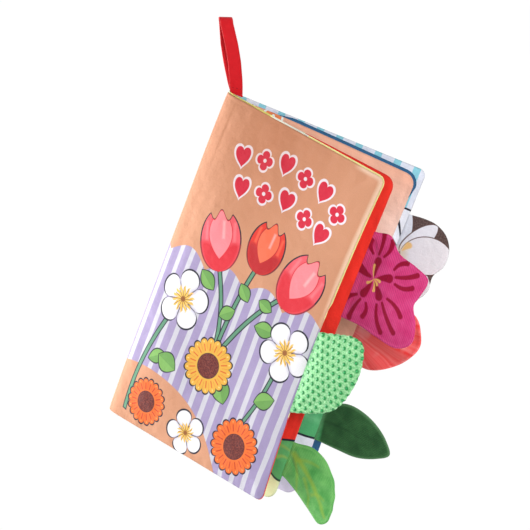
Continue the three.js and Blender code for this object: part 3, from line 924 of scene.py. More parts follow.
def cover_form(x, z):
    """What the photograph shows on the front cover: a fuller middle, a broad hollow beside the spine's
    head, a pinch in the upper fore corner, and creases beside the plush leaf."""
    rise = np.clip(x - LEAVES["front_cover"]["start"], 0, SWELL_LENGTH)
    fuller = ROLL_OUT + ROLL_SLOPE * rise * np.exp(-rise / SWELL_FADE)
    swell = sewn_ends(z) * fuller * (1 - (rise / SWELL_LENGTH) ** 1.6)
    hollow = HOLLOW_DEEP * np.exp(-((x - HOLLOW_X) / HOLLOW_WIDE) ** 2 - ((z - HOLLOW_Z) / HOLLOW_HIGH) ** 2)
    return swell - hollow + creases(x, z, *COVER_CREASES)


def cloth_half(name, side, x, z, lip=NO_LIP):
    """How far one cloth of a leaf lies from the leaf's plane: half the thickness with the dents."""
    seed = 10 * list(LEAVES).index(name) + side + 5
    half = leaf_half(LEAVES[name], x, z, lip) + dents(LEAVES[name], x, z, seed)
    return half + cover_form(x, z) if (name, side) == ("front_cover", 1) else half


print("the front cover stands out", round(float(cover_form(20.0, 117.0)), 1), "mm beside the spine")

# %% Sew the cloths of the four leaves
CLOTHS = {
    "front_cover": (("front_cover_cloth", "peach_cloth", NO_LIP),
                    ("front_cover_page", "cream_cloth", COVER_LIP)),
    "second_leaf": (("second_leaf_front_page", "red_cloth", NO_LIP),
                    ("second_leaf_back_page", "aqua_cloth", NO_LIP)),
    "third_leaf": (("third_leaf_front_page", "salmon_cloth", NO_LIP),
                   ("third_leaf_back_page", "navy_cloth", THIRD_LIP)),
    "back_cover": (("back_cover_page", "aqua_cloth", NO_LIP), ("back_cover_cloth", "peach_cloth", NO_LIP)),
}
CLOTH_THICK, FINE, COARSE = 0.42, 0.4, 1.7
TUCK_END, TUCK_FADE = 44, 12
SHORT_OF_END = 0.07
BAND_COLUMNS = 22
BANDS = {"front_cover": (("front_cover", "second_leaf"), [CUTS[1], CUTS[0]]),
         "back_cover": (("third_leaf", "back_cover"), [CUTS[2], CUTS[3]])}


def fold_points(fold, at, z, half, sign):
    """Points of a sheet at the fold: the line moved out or in by half the thickness and carried up."""
    line, normal, run = fold
    across = np.stack([np.interp(at, run, line[:, i]) for i in (0, 1)], axis=-1)
    out = np.stack([np.interp(at, run, normal[:, i]) for i in (0, 1)], axis=-1)
    flat = across[None] + sign * half[..., None] * out[None]
    return np.concatenate([flat, np.broadcast_to(z[..., None], (*flat.shape[:2], 1))], axis=-1)


def spine_band(name, side, z, lip):
    """The part of a cover's cloth that goes round the spine, from the hinge to the leaf: its points, print
    places and seam distance."""
    leaf = LEAVES[name]
    at = np.linspace(*cover_fold[2][BANDS[name][1]], BAND_COLUMNS)[:-1]
    half = leaf_half(leaf, np.full((len(z), 1), leaf["start"]), z, lip)
    sign = side if name == "front_cover" else -side
    half = half + (sign == 1) * spine_roll(at, z)
    before = leaf["start"] - (ROUND_SPINE - at if (name, side) == ("back_cover", 1) else at)
    x, z = np.broadcast_arrays(before[None], z)
    seam = np.minimum(z, LEAF_HEIGHT + lip[-1][1] - z)
    return fold_points(cover_fold, at, z[:, :1], half, sign), x, z, seam


def leaf_cloth(name, side, lip):
    """One cloth of a leaf: the leaf's plane plus, on its side, half the thickness and the dents. The third
    leaf's lip is tucked in beside the fold. On a cover the columns start with those of the spine's band."""
    leaf = LEAVES[name]
    x, z = leaf_grid(leaf, 0.0, FINE, COARSE, lip)
    tucked = lip[-1][1] * np.clip((TUCK_END - x) / TUCK_FADE, 0, 1) * (z / LEAF_HEIGHT) ** 8
    tucked = tucked * (name == "third_leaf")
    points = in_book(leaf, x, -side * cloth_half(name, side, x, z, lip), z - sunk(leaf, x, z) - tucked)
    seam = hem_distance(leaf, x, z, lip)
    if (name, side) == ("back_cover", -1):
        x = BEHIND - x
    parts = [(points, x, z, seam)]
    if name in BANDS:
        parts.insert(0, spine_band(name, side, z[:, :1], lip))
    points, x, z, seam = (np.concatenate(part, axis=1) for part in zip(*parts))
    return points, np.stack([x, z], axis=-1), facing(leaf, side), seam


def bend(made, bodies, first, last):
    """Works out two places seen from above, a little short of first and last, and bakes the piece's transform
    into its mesh."""
    short = SHORT_OF_END * (last - first)
    places = [tuple((np.array([*p, LEAF_HEIGHT / 2]) + fold_at) * MM) for p in (first + short, last - short)]
    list(bodies)
    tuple(places[0])
    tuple(places[1])
    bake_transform(made)


for name, cloths in CLOTHS.items():
    for side, (node, slot, lip) in zip((1, -1), cloths):
        points, flat, outward, seam = leaf_cloth(name, side, lip)
        mesh = cloth_mesh(node + "_piece", points, flat, outward, seam=seam)
        made = piece(node + "_piece", mesh, prints[node], slot, node, CLOTH_THICK)
        if name in BANDS:
            bodies, cuts = BANDS[name]
            bend(made, bodies, *cover_fold[0][sorted(cuts)])
        else:
            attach(made, name)
print("leaf cloths: 8, with", len(mesh.polygons), "faces on the last")

# %% [markdown]
# # The cloth between the hinges
# What is left of the spine lies between the second and third leaves' hinges, and the inner sheet's two cloths
# go round the same hinge. Each is a band along the fold.


# %% Fold the bands
def fold_band(node, fold, part, sign, slot, lip, steps=20):
    """A band of a folded sheet from one place on its line to another, drawn together at head and foot as
    the leaves are."""
    leaf = LEAVES["front_cover"]
    at = np.linspace(fold[2][part[0]], fold[2][part[1]], steps)
    z = leaf_grid(leaf, 0.0, FINE, COARSE, lip)[1][:, :1]
    half = leaf_half(leaf, np.full((len(z), 1), leaf["start"]), z, lip)
    if fold is cover_fold and sign == 1:
        half = half + spine_roll(at, z)
    points = fold_points(fold, at, z, half, sign)
    if fold is centre_fold:
        share = (at - at[0]) / (at[-1] - at[0])
        ends = [sunk(LEAVES[end], LEAVES[end]["start"], z) for end in ("second_leaf", "third_leaf")]
        points[..., 2] -= ends[0] + (ends[1] - ends[0]) * share
    flat = np.stack(np.broadcast_arrays(leaf["start"] - at[None], z), axis=-1)
    middle = sign * np.array([np.interp(at, fold[2], fold[1][:, i]).mean() for i in (0, 1)])
    seam = np.minimum(z, LEAF_HEIGHT + lip[-1][1] - z)
    mesh = cloth_mesh(node + "_piece", points, flat, (*middle, 0.0), seam=seam)
    made = piece(node + "_piece", mesh, prints[node], slot, node, CLOTH_THICK)
    bend(made, ("second_leaf", "third_leaf"), fold[0][part[0]], fold[0][part[1]])


fold_band("spine_cloth", cover_fold, (CUTS[1], CUTS[2]), 1, "peach_cloth", NO_LIP)
fold_band("spine_lining", cover_fold, (CUTS[1], CUTS[2]), -1, "cream_cloth", COVER_LIP)
fold_band("centre_fold_outer", centre_fold, (0, 240), 1, "red_cloth", NO_LIP)
fold_band("centre_fold_inner", centre_fold, (0, 240), -1, "aqua_cloth", NO_LIP)
print("bands: 4")

# %% [markdown]
# # Tails
# Each tail is two cloths cut to one outline and sewn into the fore edge. The outline is a smooth curve
# through a few points, and the surface is drawn in rings from the outline to its middle, so that the seam
# follows the edge all round. What each fabric does to the surface, such as dots, ribs or ripples, is added
# last as its relief.

# %% The tails' sizes
TAILS = {
    "minky_leaf": {
        "leaf": "front_cover", "length": 40, "span": 67, "low": 64, "puff": 1.9, "bend": 3, "knobs": 0.55,
        "shares": ((0, 0.86), (0.35, 0.94), (0.62, 0.99), (0.86, 0.97), (0.99, 0.8), (1, 0.58), (0.84, 0.3),
                   (0.6, 0.17), (0.3, 0.08), (0, 0))},
    "veined_leaf": {
        "leaf": "second_leaf", "length": 46, "span": 43, "low": 3, "puff": 1.5, "bend": 4, "wave": (0.35, 9),
        "shares": ((0, 0.93), (0.3, 1), (0.6, 0.91), (0.87, 0.67), (0.99, 0.33), (0.98, 0.09), (0.87, 0),
                   (0.7, 0.05), (0.4, 0.2), (0, 0.37))},
    "blossom": {
        "leaf": "second_leaf", "length": 55, "span": 66, "low": 133.5, "puff": 1.7, "bend": 2,
        "shares": ((0, 0.95), (0.2, 0.99), (0.4, 0.87), (0.68, 0.83), (0.9, 0.77), (0.87, 0.57), (0.84, 0.47),
                   (0.96, 0.3), (1, 0.12), (0.83, 0), (0.5, 0), (0.25, 0.02), (0, 0.01))},
    "dark_leaf": {
        "leaf": "third_leaf", "length": 51, "span": 32, "low": 42, "puff": 1.3, "bend": -2,
        "shares": ((0, 0.78), (0.14, 0.94), (0.28, 1), (0.47, 0.97), (0.68, 0.85), (0.88, 0.63), (1, 0.36),
                   (0.85, 0.17), (0.6, 0.02), (0.3, 0), (0, 0))},
    "organza_petal": {
        "leaf": "third_leaf", "length": 45, "span": 51, "low": 101, "puff": 0.75, "bend": 3,
        "wave": (0.9, 17),
        "shares": ((0, 0.96), (0.28, 1), (0.55, 0.98), (0.8, 0.91), (0.95, 0.76), (1, 0.54), (0.88, 0.33),
                   (0.65, 0.13), (0.37, 0), (0.15, 0.01), (0, 0.08))},
    "printed_petal": {
        "leaf": "back_cover", "length": 34, "span": 54, "low": 151, "puff": 1.3, "bend": 2,
        "shares": ((0, 0.95), (0.27, 0.97), (0.55, 0.96), (0.82, 0.87), (0.98, 0.7), (0.98, 0.5),
                   (0.85, 0.34), (0.86, 0.14), (0.72, 0), (0.4, 0), (0, 0.13))},
}
print("tails:", len(TAILS))


# %% Cut a tail's outline
def smooth_line(points, count):
    """A smooth curve through points, each piece a cubic whose slopes weigh a chord by its square root, then
    spaced evenly along its length."""
    p = np.vstack([2 * points[0] - points[1], points, 2 * points[-1] - points[-2]])
    step = np.sqrt(np.linalg.norm(np.diff(p, axis=0), axis=1))[:, None]
    d0, d1, d2 = step[:-2], step[1:-1], step[2:]
    p0, p1, p2, p3 = p[:-3], p[1:-2], p[2:-1], p[3:]
    leave = ((p1 - p0) / d0 - (p2 - p0) / (d0 + d1) + (p2 - p1) / d1) * d1
    arrive = ((p2 - p1) / d1 - (p3 - p1) / (d1 + d2) + (p3 - p2) / d2) * d1
    t = np.linspace(0, 1, 40)[None, :, None]
    curve = ((2 * t ** 3 - 3 * t ** 2 + 1) * p1[:, None] + (t ** 3 - 2 * t ** 2 + t) * leave[:, None]
             + (3 * t ** 2 - 2 * t ** 3) * p2[:, None] + (t ** 3 - t ** 2) * arrive[:, None]).reshape(-1, 2)
    so_far = along_itself(curve)
    at = np.linspace(0, so_far[-1], count)
    return np.stack([np.interp(at, so_far, curve[:, i]) for i in (0, 1)], axis=1)


def tail_outline(tail, spacing):
    """The outline in the leaf's plane: the smooth curve from the top of the root round the tip, and the
    straight root."""
    through = np.array(tail["shares"], float) * [tail["length"], tail["span"]] + [0, tail["low"]]
    around = along_itself(smooth_line(through, 400))[-1]
    curve = smooth_line(through, int(around / spacing))
    root = np.linspace(curve[-1], curve[0], max(int(abs(curve[0, 1] - curve[-1, 1]) / spacing), 3))[1:-1]
    return np.vstack([curve, root])


# %% Sew a tail's cloth
ROOT_GAP, SEWN_IN, ROOT_FADE = 0.7, 0.35, 1.2
TAIL_EDGE_HALF, TAIL_ROLL, HEM_SHARE = 0.55, 0.7, 0.92
DOT_PITCH = 5.2


def tail_half(tail, share, away, root):
    """Half a tail's thickness: a rolled seam at its edge, but not at its root, and a swelling inside."""
    rolled = np.sqrt(1 - (1 - np.minimum(away / TAIL_ROLL, 1)) ** 2)
    rolled = rolled + (1 - rolled) * root
    inside = 1 - np.minimum(share / HEM_SHARE, 1) ** 2
    welt = 0.22 * np.exp(-((away - 1.5) / 0.9) ** 2)
    return TAIL_EDGE_HALF * rolled + (tail["puff"] - TAIL_EDGE_HALF) * inside ** 0.6 + welt


def tail_bow(tail, u, z):
    """How far forward the tail's middle lies: a bend that grows with the square of the reach, and a wave up
    its height that starts at the root."""
    along = np.clip(u / tail["length"], 0, None)
    high, pitch = tail.get("wave", (0, 1))
    return tail["bend"] * along ** 2 + high * np.minimum(2 * along, 1) * np.sin(2 * math.pi * z / pitch)


def root_edge(tail):
    """How far out the tail is sewn in: the leaf's fore edge at the ends of its root."""
    ends = [tail["low"] + tail["shares"][i][1] * tail["span"] for i in (0, -1)]
    return max(float(fore_edge(LEAVES[tail["leaf"]], end)) for end in ends)


def tail_cloth(name, side, spacing, relief, shares=None):
    """One cloth of a tail: rings that shrink from the outline to the middle, moved out by half the
    thickness and the fabric's relief."""
    tail = TAILS[name]
    leaf = LEAVES[tail["leaf"]]
    outline = tail_outline(tail, spacing)
    middle = outline.mean(axis=0)
    knobs = tail.get("knobs", 0.0) * np.abs(np.sin(np.arange(len(outline)) * spacing * math.pi / DOT_PITCH))
    outward = (outline - middle) / np.linalg.norm(outline - middle, axis=1)[:, None]
    outline = outline + outward * (knobs * (outline[:, 0] > 1.0))[:, None]
    reach = np.linalg.norm(outline - middle, axis=1)
    if shares is None:
        edge = 1 - np.array([0, 0.08, 0.2, 0.36, 0.56, 0.8]) / reach.mean()
        shares = np.concatenate([edge, np.linspace(edge[-1], 0, int(reach.mean() / spacing))[1:]])
    share = shares[:, None]
    flat = middle + share[..., None] * (outline - middle)
    u, z = flat[..., 0], flat[..., 1]
    root = np.exp(-np.clip(u, 0, None) / ROOT_FADE)
    seam = (1 - share) * reach
    half = tail_half(tail, share, seam, root) + relief(u, z, share, side) * (1 - root)
    foot = root_edge(tail) + ROOT_GAP
    x = foot + u - (foot + SEWN_IN - fore_edge(leaf, z)) * np.clip(1 - u / 5, 0, 1) ** 2
    points = in_book(leaf, x, -tail_bow(tail, u, z) - side * half, z)
    return points, flat, facing(leaf, side), seam


# %% Reliefs of the six fabrics
DOT_HALF, DOT_HIGH = 1.35, 0.8
DOT_RISE = DOT_PITCH * math.sqrt(3)
MINKY_MIDDLE, BLOSSOM_MIDDLE, ORGANZA_FAN, PETAL_FAN = (14, 98), (12, 168), (-22, 126), (-4, 172)


def way_from(u, z, middle):
    """Which way a point lies from a middle, as an angle."""
    return np.arctan2(z - middle[1], u - middle[0])


def stuffing(share, side, face, rear, power=1.0):
    """The filling under the relief: fuller on the face, and falling to the edge with the square of the
    share, or a power of that."""
    return (face if side == 1 else rear) * (1 - np.clip(share, 0, 1) ** 2) ** power


def dot_distance(u, z):
    """The distance to the nearest dot of a staggered lattice: two square lattices, and the nearer wins."""
    distances = []
    for shift in (0.5, 1.0):
        across = (u / DOT_PITCH + shift) % 1 - 0.5
        high = (z / DOT_RISE + shift) % 1 - 0.5
        distances.append(np.hypot(across * DOT_PITCH, high * DOT_RISE))
    return np.minimum(*distances)


def dotted(u, z, share, side):
    """Low domes on a lattice, on a plush that is pleated at its root and gathered at its edge."""
    dome = DOT_HIGH * np.sqrt(np.clip(1 - (dot_distance(u, z) / DOT_HALF) ** 2, 0, 1))
    pleats = creases(u, z, ((0, 69), 0.5, 1.9, 1.5, 12), ((0, 74), 0.25, 0.8, 1.3, 8),
                     ((0, 118), -0.3, 0.9, 1.6, 8))
    gathered = 0.25 * np.sin(way_from(u, z, MINKY_MIDDLE) * 34) * np.clip(share, 0, 1) ** 14
    return dome * (share < 0.985) + stuffing(share, side, 3.4, 0.8, 0.75) + pleats + gathered


def veined(u, z, share, side):
    """Shallow grooves along the midrib and a slight cockle along the seam."""
    rib = creases(u, z, ((0, 33), -0.62, 0.5, 1.4, 60), ((3, 22), -0.15, 0.35, 2.0, 16))
    cockle = 0.15 * np.sin(z / 1.9 + u / 3) * np.clip(share, 0, 1) ** 6
    return rib + stuffing(share, side, 0.9, 0.3) + cockle


def dark_relief(u, z, share, side):
    """Three folds that run out from the root."""
    folds = creases(u, z, ((0, 52), 0.35, 0.7, 1.6, 16), ((4, 68), -0.5, 0.4, 1.4, 14),
                    ((2, 47), -0.1, 0.35, 1.5, 22))
    return folds + stuffing(share, side, 0.8, 0.2)


def blossom_relief(u, z, share, side):
    """Petals swell between shallow valleys that meet at the flower's middle."""
    far = np.hypot(u - BLOSSOM_MIDDLE[0], z - BLOSSOM_MIDDLE[1])
    petals = 0.45 * np.cos(4 * way_from(u, z, BLOSSOM_MIDDLE) + 0.8)
    petals = petals * np.clip(far / 14, 0, 1) * (1 - share ** 8)
    folds = creases(u, z, ((1, 190), -0.8, 0.5, 1.6, 12), ((1, 140), 0.5, 0.5, 1.8, 12))
    return petals + folds + stuffing(share, side, 1.2, 0.2)


def organza_relief(u, z, share, side):
    """Long ripples that fan out from the root."""
    way = way_from(u, z, ORGANZA_FAN)
    ripple = 0.34 * np.sin(13 * way + 0.06 * u) + 0.05 * np.sin(31 * way + 1.3)
    return side * ripple * np.clip(u / 16, 0, 1) + stuffing(share, side, 0.3, 0.3)


def petal_relief(u, z, share, side):
    """Five low swellings round the root, and one fold."""
    swellings = 0.3 * np.cos(5 * way_from(u, z, PETAL_FAN)) * np.clip(u / 12, 0, 1)
    return swellings + crease(u, z, (0, 168), 0.2, 0.4, 1.6, 14)


print("dots are", 2 * DOT_HALF, "mm wide,", DOT_PITCH, "mm apart")

# %% [markdown]
# # The tails' fabrics
# Plush and velvet are piles: they look lighter where the pile turns away, which the sheen of the shader gives
# together with a painted highlight along the velvets' rims, and their dye is cloudy where the pile was
# brushed. The plush has painted shade round its dots and along its seam. The sheer petal lets some light
# through, and its lighter streaks and pale clouds are painted sheen and highlights.


# %% Dotted plush
def minky_finish():
    """Mint plush with deeper glossy dots on the same lattice as the relief, with painted shade round each
    dot's foot, on each dot's sides and along the seam.
    """
    f = Print("minky_finish")
    lattices = []
    for shift in (0.5, 1.0):
        across = ((f.x * (1 / DOT_PITCH) + shift).fraction() - 0.5) * DOT_PITCH
        high = ((f.z * (1 / DOT_RISE) + shift).fraction() - 0.5) * DOT_RISE
        lattices.append((across * across + high * high).root())
    far = lattices[0].least(lattices[1])
    f.colour = f.mix(f.noise(1.3).stretched(2.8, -1.0), dye(112, 196, 124), dye(186, 236, 182))
    f.shade(f.noise(12.0), 0.3)
    # painted shade: a darker ring round the foot of each dot
    f.over((far - 1.7).inside(0.9) * 0.5, dye(96, 196, 118))
    dot = (far - DOT_HALF).inside(0.3)
    # each dot is deeper green, and painted shade makes it darker towards its edge
    f.over(dot, f.mix((far - 0.5).inside(0.6), dye(0, 128, 56), dye(36, 188, 96)))
    # painted shade: a darker line along the seam
    f.over((abs(f.seam() - 1.0) - 0.1).inside(0.6) * 0.5, dye(46, 146, 78))
    return f.finished(f.bump(f.noise(0.9), 0.5), roughness=0.85 - dot * 0.49, sheen_weight=0.25,
                      sheen_roughness=0.4)


# %% Velvets
def velvet_ground(name, base, light, ribs, way):
    """Brushed pile: clouds of a lighter dye, a painted highlight along the rim, and fine ribs across it."""
    f = Print(name)
    f.colour = f.mix(f.noise(9.0, 3.0).stretched(1.6, -0.4), base, light)
    # painted highlight: the pile is lighter along the rim
    f.over((abs(f.seam() - 1.6) - 0.5).inside(1.6) * 0.6, light)
    fine = f.split(f.seen_from(0, 0, way))[0].ripple(ribs)
    f.shade(fine * 0.5 + f.noise(0.9), 0.2)
    return f, fine


def velvet(f, fine, sheen=0.45):
    return f.finished(f.bump(f.noise(0.6) + fine * 0.4, 0.16), roughness=0.88, sheen_weight=sheen,
                      sheen_roughness=0.35, specular_ior_level=0.2)


def veined_finish():
    f, fine = velvet_ground("veined_leaf_finish", dye(70, 150, 72), dye(126, 196, 108), 1.1, 0.9)
    vein = dye(148, 178, 60)
    stroke(f, (3, 36), (42, 9), 3.0, 2.6, vein, 2.2, 0.7)
    for foot, head in (((6, 33), (24, 37)), ((4, 34), (14, 14)), ((17, 25), (27, 9)), ((27, 18), (37, 19))):
        stroke(f, foot, head, 1.6, 1.8, vein, 2.0, 0.55)
    return velvet(f, fine)


def dark_finish():
    """A deep midrib, a lighter root, and a painted highlight along the rim where the pile catches the light.
    """
    f, fine = velvet_ground("dark_leaf_finish", dye(30, 68, 36), dye(58, 104, 60), 1.3, -0.6)
    stroke(f, (-2, 56), (30, 56), 1.5, 0.8, dye(20, 50, 28), 1.6, 0.5)
    f.over((f.x + (f.z - 52.0) * 0.15 - 1.6).inside(2.0) * 0.85, dye(74, 156, 98))
    # painted highlight: lighter along the rim
    f.over((f.seam() - 1.2).inside(1.8) * 0.6, dye(98, 140, 98))
    return velvet(f, fine, 0.5)


def blossom_finish():
    """Five petals of magenta pile. Each has a deep drop at the throat and three strokes further out, and
    five stamens cross the throat."""
    f, fine = velvet_ground("blossom_finish", dye(196, 40, 106), dye(216, 76, 136), 1.5, 0.8)
    deep, stamen = dye(146, 0, 46), dye(230, 176, 100)
    middle_x, middle_z = BLOSSOM_MIDDLE

    def ray(way, first, last, wide, fill, soft, bow=0.5, taper=-0.14):
        foot, head = ((middle_x + far * math.cos(way), middle_z + far * math.sin(way))
                      for far in (first, last))
        stroke(f, foot, head, bow, wide, fill, soft, 1.0, taper)

    for petal, reach in ((0.45, 33), (1.7, 31), (2.96, 22), (-1.86, 32), (-0.8, 38)):
        ray(petal, 3, 12, 4.0, deep, 0.8, taper=-0.25)
        for turn, bow, short in ((-0.22, -1.6, 3), (0.05, -0.8, 0), (0.36, 1.4, 6)):
            ray(petal + turn, 17, max(reach - short, 22), 2.9, deep, 0.7, bow)
    for way, long in ((1.95, 9.0), (0.1, 5.0), (-1.15, 7.5), (-2.3, 5.5), (-0.5, 4.5)):
        ray(way, 0, long, 1.1, stamen, 0.5, taper=-0.45)
    return velvet(f, fine)


# %% Sheer and printed petals
def organza_finish():
    """Sheer coral cloth: streaks that fan out from the root set the dye, where the lighter streaks are
    painted sheen, and how much light passes through it; pale clouds over it are painted highlights.
    """
    f = Print("organza_finish")
    across, high = f.split(f.seen_from(*ORGANZA_FAN))
    way = high.math("ARCTAN2", across)
    streak = f.node("ShaderNodeTexNoise", {"noise_dimensions": "1D"},
                    {"W": way * 9.0 + f.noise(14.0) * 0.5, "Scale": 2.0, "Detail": 2.0})
    # the lighter streaks are painted sheen
    f.colour = f.mix(streak.stretched(2.2, -0.6), dye(255, 56, 56), dye(255, 124, 124))
    # painted highlights: pale clouds over the petal
    f.over(f.noise(16.0).stretched(3.0, -1.5) * 0.7, dye(255, 192, 190))
    return f.finished(f.bump(streak + f.noise(0.6) * 0.15, 0.2), roughness=0.42, alpha=streak * 0.25 + 0.7,
                      sheen_weight=0.3, sheen_roughness=0.3)


THROAT = (3.0, 176.0)
PETALS = ((1.78, 34.0, 10.5, dye(228, 231, 240)), (-0.67, 36.0, 16.5, dye(232, 228, 232)),
          (1.0, 31.0, 12.5, dye(230, 229, 236)), (0.27, 35.5, 25.0, dye(232, 228, 232)))


def petal_finish():
    """A brown ground with pale petals that spread from the root. Each is an oval along its own direction,
    with a thin outline, and a golden stroke lies at the throat."""
    f = Print("printed_petal_finish")
    f.colour = f.mix(f.noise(1.0).stretched(4.0, -1.6), dye(78, 58, 54), dye(104, 82, 78))
    f.over((f.far_from(*THROAT) - 8.0).inside(0.5), dye(238, 196, 120))
    for turn, long, wide, fill in PETALS:
        along, across = f.split(f.seen_from(*THROAT, turn))
        share = along * (2 / long) - 1.0
        full = (1.0 - share * share).most(0.0) ** 0.6 * (wide / 2)
        petal = (abs(across) - full).most(abs(share) * (long / 2) - long / 2)
        painted(f, petal, fill, 0.7, dye(96, 70, 66))
        for first, soft, edge, strength, dyed in ((0.1, 0.14, 1.5, 0.7, dye(238, 206, 140)),
                                                  (0.3, 0.5, 1.0, 0.3, dye(200, 200, 210))):
            near_throat = (along - long * first).inside(long * soft)
            f.over(near_throat * petal.inside(edge) * strength, dyed)
    stroke(f, (3.6, 177.8), (6.4, 182.6), 0.2, 2.6, dye(238, 190, 108), 0.9, 0.9, -0.4)
    return woven(f, 0.75, 0.2)


# %% Cut and sew the tails
FABRICS = {
    "minky_leaf": (dotted, 0.42, minky_finish, "minky"),
    "veined_leaf": (veined, 0.6, veined_finish, "leaf_velvet"),
    "blossom": (blossom_relief, 0.6, blossom_finish, "magenta_velvet"),
    "dark_leaf": (dark_relief, 0.6, dark_finish, "green_velvet"),
    "organza_petal": (organza_relief, 0.55, organza_finish, "coral_organza"),
    "printed_petal": (petal_relief, 0.6, petal_finish, "white_cloth"),
}
TAIL_THICK = 0.3
for name, (relief, spacing, finish_of, slot) in FABRICS.items():
    finish = finish_of()
    for side, word in ((1, "face"), (-1, "back")):
        points, flat, outward, seam = tail_cloth(name, side, spacing, relief)
        mesh = merged(cloth_mesh(f"{name}_{word}_piece", points, flat, outward, around=True, seam=seam))
        made = piece(f"{name}_{word}_piece", mesh, finish, slot, f"{name}_{word}", TAIL_THICK)
        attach(made, name)
    print(name, "has", len(mesh.polygons), "faces a side")

# %% [markdown]
# # What is inside
# Each leaf holds a sheet of crinkle film, which makes the sound, and a layer of wadding, and most tails
# hold one of the two. They don't show, but they are real pieces, so they get plain meshes of their own
# between the cloths.


# %% Film and wadding
def wadding_finish():
    f = Print("wadding_finish")
    fluff = f.noise(2.2, 4.0, 0.7)
    f.colour = f.mix(fluff, dye(232, 230, 226), dye(250, 249, 247))
    return f.finished(f.bump(fluff, 0.8), roughness=0.95, sheen_weight=0.3)


def film_finish():
    f = Print("crinkle_film_finish")
    crinkles = f.noise(9.0, 4.0, 0.6)
    f.colour = f.mix(crinkles, dye(214, 222, 228), dye(240, 245, 248))
    return f.finished(f.bump(crinkles, 1.2), roughness=0.22, specular_ior_level=0.6)


FILLING_INSET, FILLING_EDGE = 8.0, 3.0
UNDER_CLOTH, FILM_THICK, UNDER_FILM = 0.8, 0.3, 1.4
fillings = {"crinkle_film": film_finish(), "wadding": wadding_finish()}


def leaf_filling(name, layer, wave):
    """A layer that follows the dents of the cloths it lies between, thinned to nothing at its edge: the film
    lies just under the front cloth, and the wadding fills what is left. The front grid's rows run on into
    the back grid's, turned round."""
    leaf = LEAVES[name]
    x, z = leaf_grid(leaf, FILLING_INSET, 2.0, 3.0)
    away = np.minimum(hem_distance(leaf, x, z), x - leaf["start"]) - FILLING_INSET
    away = np.clip(away / FILLING_EDGE, 0, 1)
    front, behind = cloth_half(name, 1, x, z), -cloth_half(name, -1, x, z)
    top, bottom = front - UNDER_FILM, behind + UNDER_CLOTH
    if layer == "crinkle_film":
        top, bottom = front - UNDER_CLOTH, front - UNDER_CLOTH - FILM_THICK
    thick = np.maximum(top - bottom, 0.2) / 2 * np.sqrt(1 - (1 - away) ** 2)
    centre = (top + bottom) / 2 + wave * np.sin(x / 3.1 + np.sin(z / 7)) * np.sin(z / 3.7)
    height = z - sunk(leaf, x, z)
    front, behind = (in_book(leaf, x, -(centre + side * thick), height) for side in (1, -1))
    flat = np.stack([x, z], axis=-1)
    return (np.concatenate([front, behind[:, ::-1]], axis=1),
            np.concatenate([flat, flat[:, ::-1]], axis=1))


def tail_filling(name, full):
    """A lens between a tail's two cloths: rings from the middle out to the edge on the face, and in again on
    the back, drawn together to a share of the room and to nothing at the edge."""
    shares = np.linspace(0.75, 0, 8)
    face, rear = (tail_cloth(name, side, 2.5, lambda *place: 0.0, shares) for side in (1, -1))
    middle, flat = (face[0] + rear[0]) / 2, face[1]
    thick = np.sqrt(1 - (shares[:, None, None] / shares[0]) ** 2) * full
    near, away = (middle + (cloth[0] - middle) * thick for cloth in (face, rear))
    return np.concatenate([near[::-1], away]), np.concatenate([flat[::-1], flat])


def fill(body, node, points, flat, slot):
    made = shell_piece(f"{node}_piece", points, flat, fillings[slot], slot, node)
    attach(made, body)


for name in LEAVES:
    for slot, wave in (("crinkle_film", 0.03), ("wadding", 0.0)):
        fill(name, f"{name}_{slot}", *leaf_filling(name, slot, wave), slot)
for name in ("minky_leaf", "veined_leaf", "blossom"):
    fill(name, f"{name}_wadding", *tail_filling(name, 0.45), "wadding")
for name in ("dark_leaf", "printed_petal"):
    fill(name, f"{name}_film", *tail_filling(name, 0.1), "crinkle_film")
print("fillings are in")

# %% [markdown]
# # The ribbon loop
# A satin ribbon folded in two and sewn into the head of the fold. Its section, a thin bar with rounded
# edges, is carried along a path that rises, turns over and comes down again. Fine ribs run along it, and its
# two edges are a little thicker, as a woven edge is.

# %% The ribbon's path and section
RIBBON_WIDTH, RIBBON_THICK, RIBBON_LEAN, RIBBON_LEVEL = 9.0, 0.6, math.radians(27.5), math.radians(6.7)
RIBBON_ROOT_X, RIBBON_ROOT_GAP, RIBBON_ROOT_HEIGHT = 0.8, 0.75, 9.0
LOOP_LENGTH, LOOP_HALF_WIDE = 52.0, 3.8
HOOK_HEIGHT = LOOP_LENGTH - LOOP_HALF_WIDE
STRAY_AT, FRONT_STRAY, REAR_STRAY = (0, 0.2, 0.45, 0.7, 1), (0, 0.9, 1.5, 1.2, 0), (0, -0.7, -1.9, -2.6, -2.2)


def ribbon_path(count=70):
    """The middle of the ribbon as distance from the middle plane and height: two strands that part with a
    power of the height, and a half circle over the top."""
    high = np.linspace(-0.6, HOOK_HEIGHT, count)
    parted = np.clip((high - RIBBON_ROOT_HEIGHT) / (HOOK_HEIGHT - RIBBON_ROOT_HEIGHT), 0, None) ** 1.4
    away = (LOOP_HALF_WIDE - RIBBON_THICK) * parted + RIBBON_THICK / 2
    turn = np.linspace(0, math.pi, 28)[1:-1]
    radius = LOOP_HALF_WIDE - RIBBON_THICK / 2
    return np.concatenate([np.stack([-away, high], 1),
                           np.stack([-radius * np.cos(turn), HOOK_HEIGHT + radius * np.sin(turn)], 1),
                           np.stack([away, high], 1)[::-1]])


def ribbon_section(count=17):
    """A thin bar: across its width, then back along its other side; the edges are rounded and a little
    thicker."""
    across = np.linspace(-1, 1, count)
    across = np.sign(across) * np.abs(across) ** 0.8
    thick = np.sqrt(np.clip(1 - np.abs(across) ** 14, 0, 1)) * (0.8 + 0.2 * np.abs(across) ** 6)
    return (np.concatenate([across, across[-2:0:-1]]) * RIBBON_WIDTH / 2,
            np.concatenate([thick, -thick[-2:0:-1]]) * RIBBON_THICK / 2)


